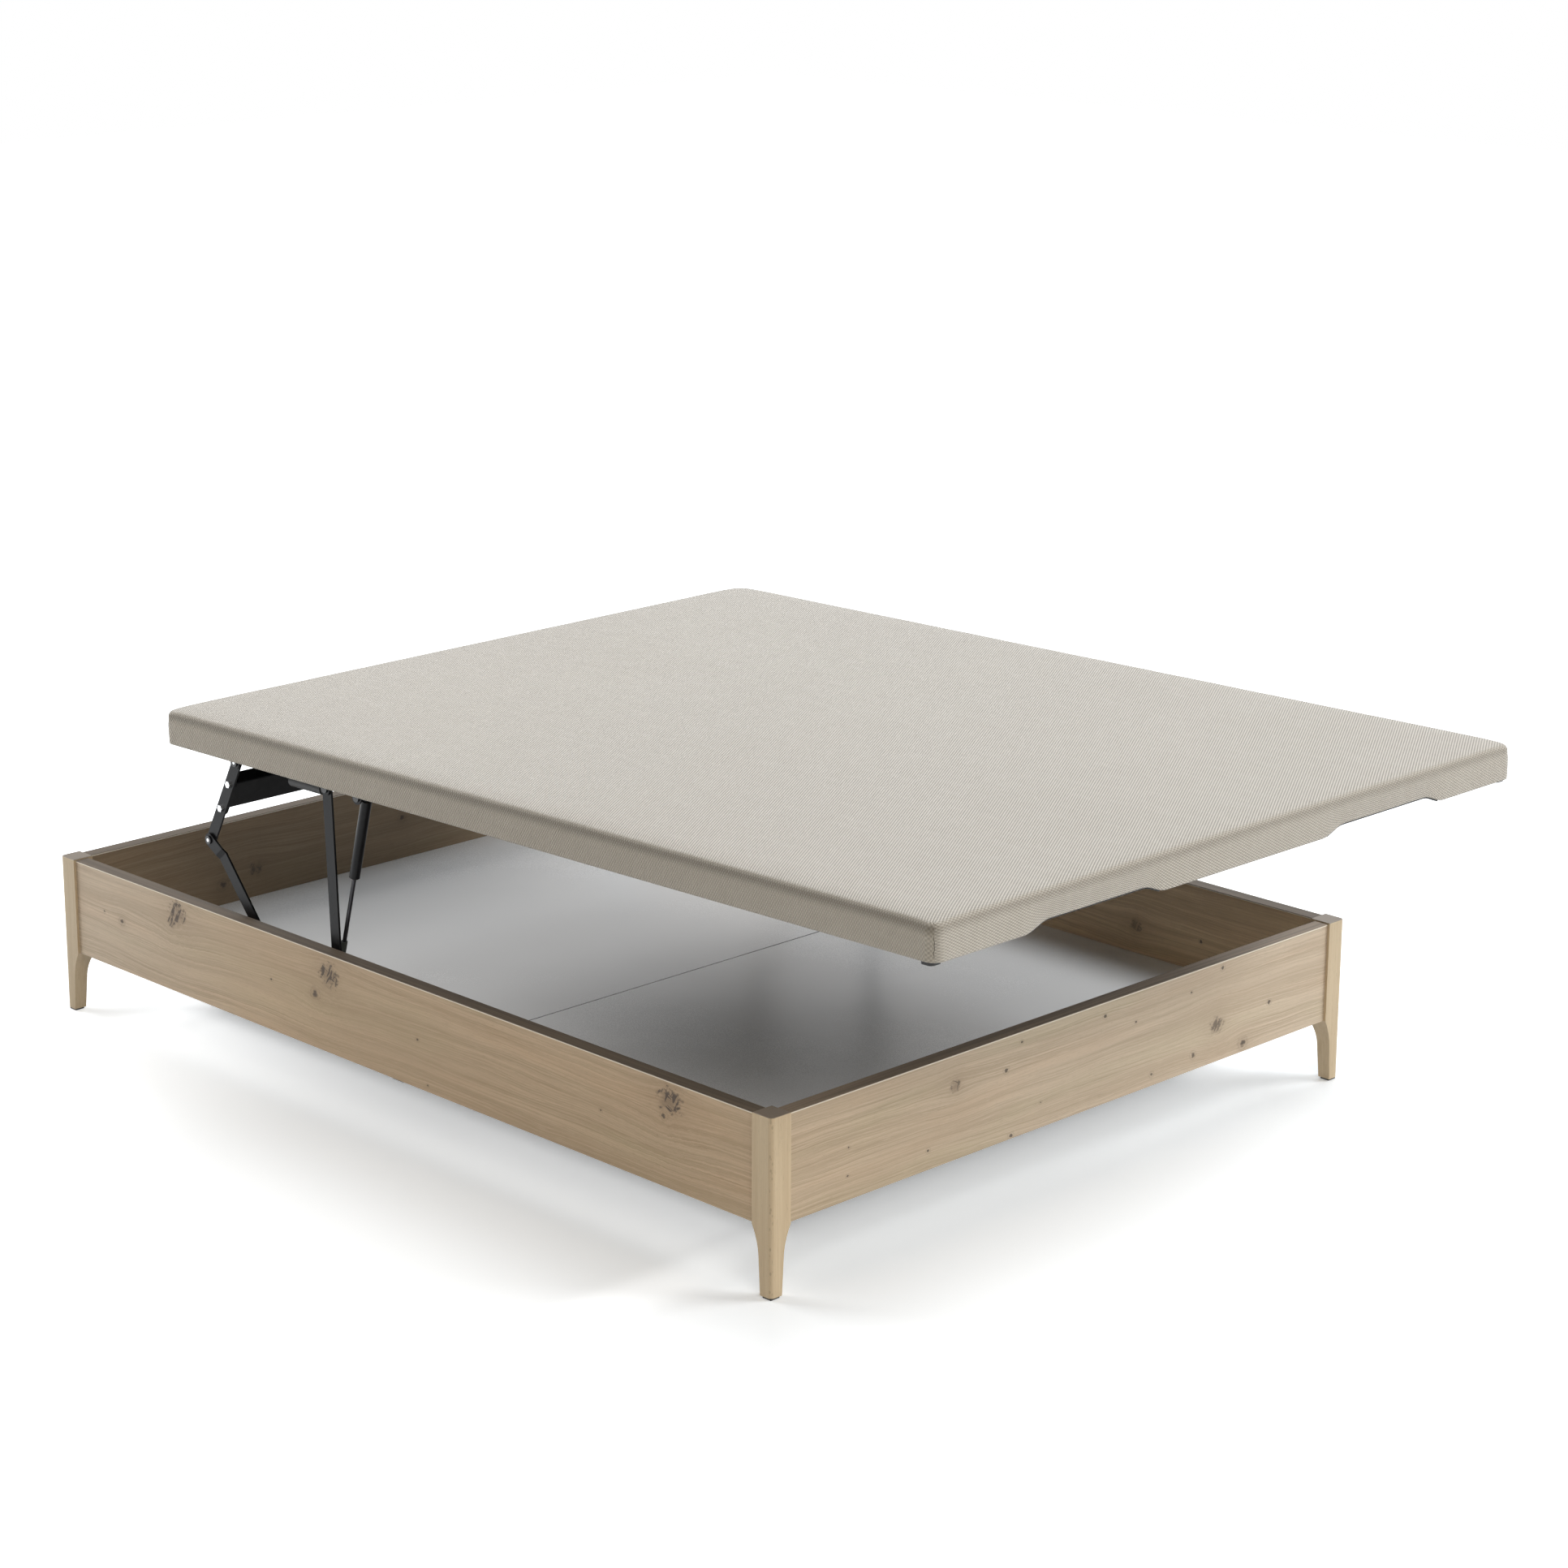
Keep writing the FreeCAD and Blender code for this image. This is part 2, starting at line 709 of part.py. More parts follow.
strut_down = unit(strut_pivot, strut_base)
strut_length = math.hypot(strut_base[0] - strut_pivot[0], strut_base[1] - strut_pivot[1])
strut_middle = inward(strut_layer_middle)


def on_strut(distance):
    """A point on the near side strut's axis, down from its lid pivot."""
    x, z = along_line(strut_pivot, strut_down, distance)
    return Vector(x, strut_middle, z)


def strut_round(radius, start, end):
    """A cylinder on the strut's axis between two distances from its lid pivot."""
    return Part.makeCylinder(radius, end - start, on_strut(start), Vector(strut_down[0], 0, strut_down[1]))


def make_strut_cylinder():
    """The near side's gas cylinder, hollow for its rod, with the eye that hangs on the lid."""
    body = strut_round(strut_radius, strut_eye_radius, strut_body_length)
    rim = [edge for edge in body.Edges if edge.Curve.TypeId == "Part::GeomCircle"]
    body = body.makeChamfer(strut_end_chamfer, rim)
    y0 = strut_middle - strut_eye_thickness / 2
    y1 = strut_middle + strut_eye_thickness / 2
    eye = across(strut_pivot, strut_eye_radius, y0, y1)
    solid = fuse([body, eye])
    room = strut_round(strut_radius - strut_wall, strut_eye_radius + strut_rod_radius,
                       strut_body_length - strut_seal_length)
    guide = strut_round(strut_rod_radius + strut_seal_clearance, strut_body_length - strut_seal_length,
                        strut_body_length + overrun)
    hole = across(strut_pivot, strut_pin_radius + pin_clearance, y0 - overrun, y1 + overrun)
    return cut(solid, [room, guide, hole])


def make_strut_rod():
    """The near side's piston rod with its piston."""
    fitting_start = strut_length - strut_eye_radius - strut_fitting_length
    inner = strut_body_length - strut_seal_length - strut_rod_inside
    rod = strut_round(strut_rod_radius, inner, fitting_start)
    piston = strut_round(strut_radius - strut_wall - strut_seal_clearance, inner, inner + strut_rod_radius)
    return fuse([rod, piston])


def make_strut_fitting():
    """The near side's end fitting of the rod, with its eye at the base."""
    start = strut_length - strut_eye_radius - strut_fitting_length
    sleeve = strut_round(strut_fitting_radius, start, strut_length)
    y0 = strut_middle - strut_eye_thickness / 2
    y1 = strut_middle + strut_eye_thickness / 2
    eye = across(strut_base, strut_eye_radius, y0, y1)
    return fuse([sleeve, eye])


# Lid, in its own frame

def rounded_slab(x0, x1, half, z0, z1, corner_round):
    """A slab as wide as twice half, with rounded corners in plan."""
    slab = box(x0, x1, -half, half, z0, z1)
    return slab.makeFillet(corner_round, edges_along(slab, Vector(0, 0, 1), lambda p: True))


def round_top(slab, radius):
    """Rounds the top rim of a slab."""
    top = slab.BoundBox.ZMax
    rim = [edge for edge in slab.Edges if edge.BoundBox.ZMin > top - edge_tolerance]
    return slab.makeFillet(radius, rim)


def s_curve(start, width, height):
    """Two tangent arcs that climb from a level start to a level end, in the Y, Z plane."""
    radius = (width ** 2 + height ** 2) / (4 * abs(height))
    side = math.copysign(1, width)
    rise = math.copysign(1, height)
    half_angle = math.asin(abs(width) / 2 / radius) / 2
    step_y = side * radius * math.sin(half_angle)
    step_z = rise * radius * (1 - math.cos(half_angle))
    middle = start + Vector(0, width / 2, height / 2)
    end = start + Vector(0, width, height)
    first = Part.Arc(start, start + Vector(0, step_y, step_z), middle).toShape()
    second = Part.Arc(middle, end - Vector(0, step_y, step_z), end).toShape()
    return [first, second]


def make_recess_cutter(y_sign):
    """The hand recess in the underside of the foot end, on one side of the middle."""
    x = lid_length - end_batten_width - 2 * lid_end_inset
    near_end = y_sign * recess_inner
    far_end = y_sign * recess_outer
    ramp = y_sign * recess_end_length
    up = s_curve(Vector(x, near_end, 0), ramp, recess_height)
    down = s_curve(Vector(x, far_end, 0), -ramp, recess_height)
    edges = up + down + [
        Part.makeLine(Vector(x, near_end + ramp, recess_height), Vector(x, far_end - ramp, recess_height)),
        Part.makeLine(Vector(x, near_end, 0), Vector(x, near_end, -overrun)),
        Part.makeLine(Vector(x, near_end, -overrun), Vector(x, far_end, -overrun)),
        Part.makeLine(Vector(x, far_end, -overrun), Vector(x, far_end, 0)),
    ]
    face = Part.Face(Part.Wire(Part.__sortEdges__(edges)))
    return face.extrude(Vector(end_batten_width + 3 * lid_end_inset + overrun, 0, 0))


def make_cover(recesses):
    """The fabric cover: top and sides, open below."""
    outer = rounded_slab(0.0, lid_length, lid_width / 2, 0.0, lid_thickness, lid_corner_round)
    outer = round_top(outer, lid_edge_round)
    inner = rounded_slab(cover_thickness, lid_length - cover_thickness, lid_width / 2 - cover_thickness,
                         -overrun, lid_thickness - cover_thickness, lid_corner_round - cover_thickness)
    inner = round_top(inner, lid_edge_round - cover_thickness)
    return cut(outer.cut(inner), recesses)


def make_pad():
    """The thin padding under the top of the cover."""
    low = deck_top + soft_clearance
    high = lid_thickness - cover_thickness - soft_clearance
    pad = rounded_slab(lid_end_inset + deck_inset / 2, lid_length - lid_end_inset - deck_inset / 2,
                       lid_inner - deck_inset / 2, low, high, lid_corner_round - lid_end_inset)
    return round_top(pad, pad_round)


def make_side_batten():
    """The near side batten of the lid's frame, which carries the steel rail."""
    batten = box(lid_end_inset, lid_length - lid_end_inset, -lid_inner, side_batten_width - lid_inner,
                 0.0, batten_height)
    corners = edges_along(batten, Vector(0, 0, 1), lambda p: p.y < overrun - lid_inner)
    return batten.makeFillet(lid_corner_round - lid_end_inset, corners)


def make_end_batten():
    """The head batten of the lid's frame, between the side battens."""
    reach = lid_inner - side_batten_width
    return box(lid_end_inset, lid_end_inset + end_batten_width, -reach, reach, cloth_seat, batten_height)


def make_foot_batten(recesses):
    """The foot batten of the lid's frame, with the two hand recesses."""
    reach = lid_inner - side_batten_width
    batten = box(lid_length - lid_end_inset - end_batten_width, lid_length - lid_end_inset,
                 -reach, reach, cloth_seat, batten_height)
    return cut(batten, recesses)


def make_cross_batten(index):
    """One of the battens across the lid, evenly spaced."""
    reach = lid_inner - side_batten_width
    middle = lid_length * (index + 1) / (cross_batten_count + 1)
    return box(middle - cross_batten_width / 2, middle + cross_batten_width / 2, -reach, reach,
               cloth_seat, batten_height)


def make_deck():
    """The head and foot halves of the deck that lies on the battens."""
    x0 = lid_end_inset + deck_inset
    x1 = lid_length - lid_end_inset - deck_inset
    deck = rounded_slab(x0, x1, lid_inner - deck_inset, deck_bottom, deck_top, lid_corner_round - lid_end_inset)
    middle = lid_length / 2
    half_gap = deck_joint_gap / 2
    head = deck.common(box(x0, middle - half_gap, -lid_width, lid_width, deck_bottom, deck_top))
    foot = deck.common(box(middle + half_gap, x1, -lid_width, lid_width, deck_bottom, deck_top))
    return head, foot


def make_underside_cloth():
    """The dust cloth under the cross battens, between the side battens."""
    half = lid_inner - side_batten_width - cloth_side_gap
    return box(lid_end_inset + cloth_side_gap, lid_length - lid_end_inset - end_batten_width - cloth_side_gap,
               -half, half, 0.0, cloth_thickness)


def make_bumpers():
    """The four corner bumpers on which the closed lid lands."""
    bumpers = []
    for x0, side_inset in ((bumper_head_end_inset, bumper_head_side_inset),
                           (lid_length - bumper_foot_end_inset - bumper_size, bumper_foot_side_inset)):
        for y0 in (side_inset - lid_width / 2, lid_width / 2 - side_inset - bumper_size):
            bumper = box(x0, x0 + bumper_size, y0, y0 + bumper_size, -bumper_height, 0.0)
            corners = edges_along(bumper, Vector(0, 0, 1), lambda p: True)
            bumpers.append(bumper.makeFillet(bumper_round, corners))
    return bumpers


def make_lid_rail():
    """The near side's steel rail: a flange under the batten, a web and a lug at each pivot."""
    y0 = inward(rail_layer)
    y1 = inward(rail_layer + rail_thickness)
    web = box(rail_start_from_head, rail_end_from_head, y0, y1, -rail_drop, 0.0)
    flange = box(rail_start_from_head, rail_end_from_head, y0, y0 + rail_flange_width, -rail_flange_thickness, 0.0)
    lugs = []
    holes = []
    for place in (yoke_pivot_from_head, arm_pivot_from_head, strut_pivot_from_head):
        pivot = (place, -pivot_drop)
        lugs.append(across(pivot, eye_radius, y0, y1))
        radius = strut_pin_radius if place == strut_pivot_from_head else pin_radius
        holes.append(across(pivot, radius, y0 - overrun, y1 + overrun))
    return cut(fuse([web, flange] + lugs), holes)


def rail_screw_places():
    """Places of the rail's screws along the lid."""
    first = rail_start_from_head + rail_screw_inset
    count = int((rail_end_from_head - rail_screw_inset - first) // rail_screw_pitch) + 1
    return [first + index * rail_screw_pitch for index in range(count)]


def make_rail_screws():
    """The near side's screws up through the rail into the batten."""
    y = inward(rail_layer) + (rail_flange_width + rail_thickness) / 2
    return [screw(Vector(x, y, -rail_flange_thickness), Vector(0, 0, 1)) for x in rail_screw_places()]


def make_lid_pins():
    """The near side's pivot bolts on the rail: yoke, long arm and strut."""
    face = inward(rail_layer)
    bar_end = inward(bar_layer + bar_thickness + layer_clearance)
    pins = []
    for place in (yoke_pivot_from_head, arm_pivot_from_head):
        pivot = (place, -pivot_drop)
        head = across(pivot, bolt_head_radius, face - bolt_head_thickness, face)
        shank = across(pivot, pin_radius, face, bar_end + nut_thickness)
        washer = across(pivot, bolt_head_radius, inward(rail_layer + rail_thickness),
                        inward(bar_layer - layer_clearance))
        nut = hexagon(pivot, nut_radius, bar_end, bar_end + nut_thickness)
        pins.append(fuse([head, shank, washer, nut]))
    pivot = (strut_pivot_from_head, -pivot_drop)
    eye_start = strut_middle - strut_eye_thickness / 2
    eye_end = strut_middle + strut_eye_thickness / 2
    head = across(pivot, bolt_head_radius, face - bolt_head_thickness, face)
    shank = across(pivot, strut_pin_radius, face, eye_end + layer_clearance + nut_thickness)
    collar = across(pivot, strut_pin_washer, eye_start - layer_clearance - nut_thickness,
                    eye_start - layer_clearance)
    nut = hexagon(pivot, strut_pin_washer, eye_end + layer_clearance, eye_end + layer_clearance + nut_thickness)
    pins.append(fuse([head, shank, collar, nut]))
    return pins


def make_buffer():
    """The near side's stop buffer: a round body along the rail, with a softer nose at the long arm."""
    end = arm_pivot_from_head - bar_width / 2 - buffer_clearance
    body_end = end - buffer_nose_length
    start = body_end - buffer_length
    axis = Vector(1, 0, 0)
    y = inward(rail_layer + rail_thickness + layer_clearance) + buffer_radius
    body = Part.makeCylinder(buffer_radius, buffer_length, Vector(start, y, -buffer_drop), axis)
    nose = Part.makeCylinder(buffer_nose_radius, buffer_nose_length, Vector(body_end, y, -buffer_drop), axis)
    clip_middle = start + buffer_length * buffer_clip_share
    clip = box(clip_middle - buffer_clip_width / 2, clip_middle + buffer_clip_width / 2,
               y - buffer_clip_thickness / 2, y + buffer_clip_thickness / 2, -buffer_drop, -rail_flange_thickness)
    return fuse([body, nose, clip])


def build_base():
    """Every node of the fixed base."""
    leg = make_leg()
    bracket_screws = make_bracket_screws()
    bracket_bolt = make_bracket_bolt()
    bracket = cut(make_bracket(), bracket_screws + [bracket_bolt])
    nodes = {}
    for name, shape in four_corners(leg.cut(bracket_bolt)).items():
        nodes["leg_" + name] = shape
    centre_glide = Part.makeCylinder(centre_leg_radius, glide_height)
    nodes["leg_glides"] = group(list(four_corners(make_glide()).values()))
    nodes["centre_leg_glide"] = centre_glide
    nodes["corner_brackets"] = group(list(four_corners(bracket).values()))
    nodes["bracket_bolts"] = group(list(four_corners(bracket_bolt).values()))
    all_screws = []
    for one in bracket_screws:
        all_screws += list(four_corners(one).values())
    nodes["bracket_screws"] = group(all_screws)

    plate_screws = make_base_plate_screws()
    plate = cut(make_base_plate(), plate_screws + [make_base_pin()])
    nodes.update(both_sides("base_plate", plate))
    nodes["base_plate_screws"] = group(plate_screws + [mirrored_y(one) for one in plate_screws])
    pin = make_base_pin()
    nodes["arm_base_pins"] = group([pin, mirrored_y(pin)])

    side = cut(make_side_board(), plate_screws + all_screws)
    nodes.update(both_sides("side_board", side))
    foot = cut(make_end_board(), all_screws)
    nodes["foot_board"] = foot
    nodes["head_board"] = mirrored_x(foot)
    panel = make_floor_panel()
    nodes["floor_panel_foot"] = panel
    nodes["floor_panel_head"] = mirrored_x(panel)
    nodes["floor_cross_tube"] = make_floor_tube()
    nodes["centre_leg"] = make_centre_leg()
    return nodes


def build_gear():
    """Every node of the moving bars and struts."""
    nodes = {}
    nodes.update(both_sides("long_arm", make_long_arm()))
    nodes.update(both_sides("lower_link", make_lower_link()))
    nodes.update(both_sides("link_base_bolt", make_link_bolt()))
    nodes.update(both_sides("upper_strap", make_strap()))
    end_plate = make_end_plate()
    nodes["cross_tube_end_plates"] = group([end_plate, mirrored_y(end_plate)])
    bolts = make_strap_bolts()
    nodes["cross_tube_bolts"] = group(bolts + [mirrored_y(one) for one in bolts])
    rivet = make_knee_rivet()
    nodes["knee_rivets"] = group([rivet, mirrored_y(rivet)])
    nodes["cross_tube"] = make_cross_tube()
    nodes.update(both_sides("strut_cylinder", make_strut_cylinder()))
    nodes.update(both_sides("strut_rod", make_strut_rod()))
    nodes.update(both_sides("strut_rod_fitting", make_strut_fitting()))
    return nodes


def build_lid():
    """Every node that is fixed to the lid."""
    recesses = [make_recess_cutter(-1), make_recess_cutter(1)]
    rail_screws = make_rail_screws()
    local = {
        "lid_cover": make_cover(recesses),
        "lid_pad": make_pad(),
        "lid_head_batten": make_end_batten(),
        "lid_foot_batten": make_foot_batten(recesses),
        "lid_underside_cloth": make_underside_cloth(),
        "corner_bumpers": group(make_bumpers()),
        "rail_screws": group(rail_screws + [mirrored_y(one) for one in rail_screws]),
    }
    local.update(both_sides("lid_side_batten", cut(make_side_batten(), rail_screws)))
    local.update(both_sides("lid_rail", cut(make_lid_rail(), rail_screws)))
    local.update(both_sides("stop_buffer", make_buffer()))
    pins = make_lid_pins()
    local["lid_pivot_bolts"] = group(pins + [mirrored_y(one) for one in pins])
    local["lid_deck_head"], local["lid_deck_foot"] = make_deck()
    for index in range(cross_batten_count):
        local["lid_cross_batten_" + str(index + 1)] = make_cross_batten(index)
    return {name: lid_place(shape) for name, shape in local.items()}


def main():
    """Builds every node and writes one file for each."""
    os.makedirs("parts", exist_ok=True)
    nodes = {}
    nodes.update(build_base())
    nodes.update(build_gear())
    nodes.update(build_lid())
    for name, shape in nodes.items():
        shape.exportStep("parts/" + name + ".step")
    print("nodes", len(nodes))


main()
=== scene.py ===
"""Looks of a storage bed whose upholstered lid stands raised above its base.

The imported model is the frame. The lid's upholstery is made here as mesh pieces in place of the soft
solids, and every carried-over node gets its finish: knotty oak boards, pale wood legs, a white storage
floor, black lifting gear with bright bolts. Lengths are in metres.
"""
from __future__ import annotations

import logging
import math
import random
from dataclasses import dataclass, field
from enum import Enum
from itertools import product
from typing import Callable, Iterable, Iterator, Protocol, Sequence, Union

import bmesh
import bpy
from mathutils import Matrix, Vector, noise


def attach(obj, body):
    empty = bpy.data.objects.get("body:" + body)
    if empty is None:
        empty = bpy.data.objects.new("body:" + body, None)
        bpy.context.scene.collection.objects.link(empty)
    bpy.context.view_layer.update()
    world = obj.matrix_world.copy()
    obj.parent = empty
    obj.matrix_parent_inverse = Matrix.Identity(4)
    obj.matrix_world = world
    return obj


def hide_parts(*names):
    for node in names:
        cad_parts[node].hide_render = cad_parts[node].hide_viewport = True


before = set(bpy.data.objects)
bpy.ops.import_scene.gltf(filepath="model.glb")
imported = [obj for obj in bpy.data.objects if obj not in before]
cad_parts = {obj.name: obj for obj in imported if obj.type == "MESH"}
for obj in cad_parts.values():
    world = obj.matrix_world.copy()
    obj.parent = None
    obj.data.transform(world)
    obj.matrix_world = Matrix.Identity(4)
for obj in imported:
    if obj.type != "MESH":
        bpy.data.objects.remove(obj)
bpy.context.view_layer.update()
log = logging.getLogger("bed")

Colour = tuple[float, float, float]
Point2 = tuple[float, float]
Cell = tuple[int, int]
CLOTH_MAP = "cloth"
WHITE = (1.0, 1.0, 1.0)
BLACK = (0.0, 0.0, 0.0)
ZINC = (0.74, 0.75, 0.77)


class Axis(Enum):
    """The direction that a board's grain runs in."""

    ALONG = 0
    ACROSS = 1
    UP = 2


def maths(operation: str, swapped: bool = False) -> Callable[..., "Value"]:
    """Makes a method of Value that adds a Math node.

    Args:
        operation: what the node does with this value and another one.
        swapped: whether the other one comes first.

    Returns:
        The method.
    """
    def method(self: "Value", other: "Number" = 0.0) -> "Value":
        """The node's result."""
        pair = (other, self) if swapped else (self, other)
        return self.tree.node("ShaderNodeMath", {"operation": operation}, dict(enumerate(pair)))
    return method


class Value:
    """A socket that varies over a surface. Operators on it, and the methods beside them, add Math nodes."""

    __add__ = __radd__ = maths("ADD")
    __sub__ = maths("SUBTRACT")
    __rsub__ = maths("SUBTRACT", swapped=True)
    __mul__ = __rmul__ = maths("MULTIPLY")
    __truediv__ = maths("DIVIDE")
    __rpow__ = maths("POWER", swapped=True)
    lower = maths("MINIMUM")
    higher = maths("MAXIMUM")
    size = maths("ABSOLUTE")
    cosine = maths("COSINE")

    def __init__(self, tree: "Tree", socket: bpy.types.NodeSocket) -> None:
        """Wraps one output socket of a node tree."""
        self.tree = tree
        self.socket = socket

    def step(self, low: float, high: float, start: float, end: float) -> "Value":
        """A smooth step from the start level at low to the end level at high."""
        return self.tree.node("ShaderNodeMapRange", {"interpolation_type": "SMOOTHSTEP"},
                              {0: self, 1: low, 2: high, 3: start, 4: end})

    def ramp(self, low: float, high: float, top: float = 1.0) -> "Value":
        """A smooth step from 0 at low up to top at high."""
        return self.step(low, high, 0.0, top)

    def fall(self, low: float, high: float, top: float = 1.0) -> "Value":
        """A smooth step from top at low down to 0 at high."""
        return self.step(low, high, top, 0.0)


Number = Union[float, Value]
Given = Union[float, Colour, Value]


class Tree:
    """The node tree of a material or of the world."""

    def __init__(self, owner: Union[bpy.types.Material, bpy.types.World]) -> None:
        """Takes over an owner's node tree and empties it.

        Args:
            owner: the material or the world.
        """
        owner.use_nodes = True
        self.owner = owner
        self.nodes, self.links = owner.node_tree.nodes, owner.node_tree.links
        self.nodes.clear()

    def fill(self, socket: bpy.types.NodeSocket, given: Given) -> None:
        """Links a value to an input socket, or sets a number or a colour on it.

        Args:
            socket: the input socket.
            given: what goes into it.
        """
        if isinstance(given, Value):
            self.links.new(given.socket, socket)
        else:
            socket.default_value = (*given, 1.0) if socket.type == "RGBA" else given

    def node(self, kind: str, settings: dict | None = None, inputs: dict | None = None,
             output: int | str = 0) -> Value:
        """Adds a node.

        Args:
            kind: the node's type.
            settings: its properties, set first.
            inputs: numbers, colours or values for its sockets, by index or name.
            output: the socket that is returned.

        Returns:
            The chosen output as a value.
        """
        made = self.nodes.new(kind)
        for name, setting in (settings or {}).items():
            setattr(made, name, setting)
        for key, given in (inputs or {}).items():
            self.fill(made.inputs[key], given)
        return Value(self, made.outputs[output])

    def end(self, kind: str, last: Value) -> None:
        """Adds an output node and links the last value to it."""
        self.fill(self.nodes.new(kind).inputs[0], last)

    def place(self) -> Value:
        """The point on the piece, in its own frame."""
        return self.node("ShaderNodeTexCoord", output="Object")

    def parts(self, vector: Value) -> tuple[Value, Value, Value]:
        """The three parts of a vector."""
        outputs = self.node("ShaderNodeSeparateXYZ", inputs={0: vector}).socket.node.outputs
        return Value(self, outputs[0]), Value(self, outputs[1]), Value(self, outputs[2])

    def vector(self, x: Number, y: Number, z: Number) -> Value:
        """A vector from three parts."""
        return self.node("ShaderNodeCombineXYZ", inputs={0: x, 1: y, 2: z})

    def distance(self, point: Value, other: Colour) -> Value:
        """The distance of a point from another one."""
        return self.node("ShaderNodeVectorMath", {"operation": "DISTANCE"}, {0: point, 1: other}, "Value")

    def cloud(self, vector: Value, scale: float = 1.0, detail: float = 2.0, rough: float = 0.5) -> Value:
        """Smooth noise from 0 to 1."""
        return self.node("ShaderNodeTexNoise", {"noise_dimensions": "3D"},
                         {"Vector": vector, "Scale": scale, "Detail": detail, "Roughness": rough})

    def cells(self, vector: Value, scale: float) -> Value:
        """The distance to the nearest of many scattered points."""
        return self.node("ShaderNodeTexVoronoi", {}, {"Vector": vector, "Scale": scale}, "Distance")

    def blend(self, share: Number, low: Given, high: Given, mode: str = "MIX") -> Value:
        """A colour between two colours, or with "MULTIPLY" one tinted by the other."""
        return self.node("ShaderNodeMix", {"data_type": "RGBA", "blend_type": mode},
                         {0: share, 6: low, 7: high}, 2)

    def coats(self, colour: Given, *layers: tuple) -> Value:
        """Lays tints over a colour, one after the other.

        Args:
            colour: the colour below.
            layers: the share and the tint of each, and how it mixes where that isn't plainly.

        Returns:
            The colour on top.
        """
        for share, tint, *mode in layers:
            colour = self.blend(share, colour, tint, *mode)
        return colour

    def bump(self, height: Value, depth: float, strength: float) -> Value:
        """A bumped normal, depth metres deep."""
        return self.node("ShaderNodeBump", inputs={"Strength": strength, "Distance": depth, "Height": height})

    def seen(self) -> Value:
        """Finds the rays from the camera, a reflection or a clear piece.

        Returns:
            One for them, and nought for others.
        """
        camera = self.node("ShaderNodeLightPath", output="Is Camera Ray")
        outputs = camera.socket.node.outputs
        glossy, clear = (Value(self, outputs[name]) for name in ("Is Glossy Ray", "Is Transmission Ray"))
        return camera.higher(glossy).higher(clear)


class Surface(Tree):
    """The node tree of one material, with a single surface shader."""

    def __init__(self, name: str) -> None:
        """Makes an empty material with its shader and output.

        Args:
            name: the material's name.
        """
        super().__init__(bpy.data.materials.new(name))
        self.shader = self.nodes.new("ShaderNodeBsdfPrincipled")
        self.end("ShaderNodeOutputMaterial", Value(self, self.shader.outputs[0]))

    def finish(self, **sockets: Given) -> bpy.types.Material:
        """Sets the shader's sockets.

        Args:
            sockets: numbers, colours or values by socket name, with underscores for spaces.

        Returns:
            The finished material.
        """
        for key, given in sockets.items():
            self.fill(self.shader.inputs[key.replace("_", " ")], given)
        return self.owner


def shade(colour: Colour, factor: float) -> Colour:
    """A colour made lighter or darker by a factor."""
    return tuple(part * factor for part in colour)


@dataclass(frozen=True)
class Knot:
    """A knot in a board, by its place along the grain and up the board, and its radius."""

    along: float
    up: float
    radius: float
    cracked: bool = False


@dataclass(frozen=True)
class Streaks:
    """Streaks in wood: how many fit in a metre along and across the grain, and what tells them apart."""

    along: float
    across: float
    seed: float = 0.0
    detail: float = 2.0
    rough: float = 0.5

    def lay(self, tree: Tree, along: Value, across: Value, board_seed: float) -> Value:
        """The streaks over a board, from 0 to 1."""
        point = tree.vector(along * self.along, across * self.across, self.seed + board_seed)
        return tree.cloud(point, 1.0, self.detail, self.rough)


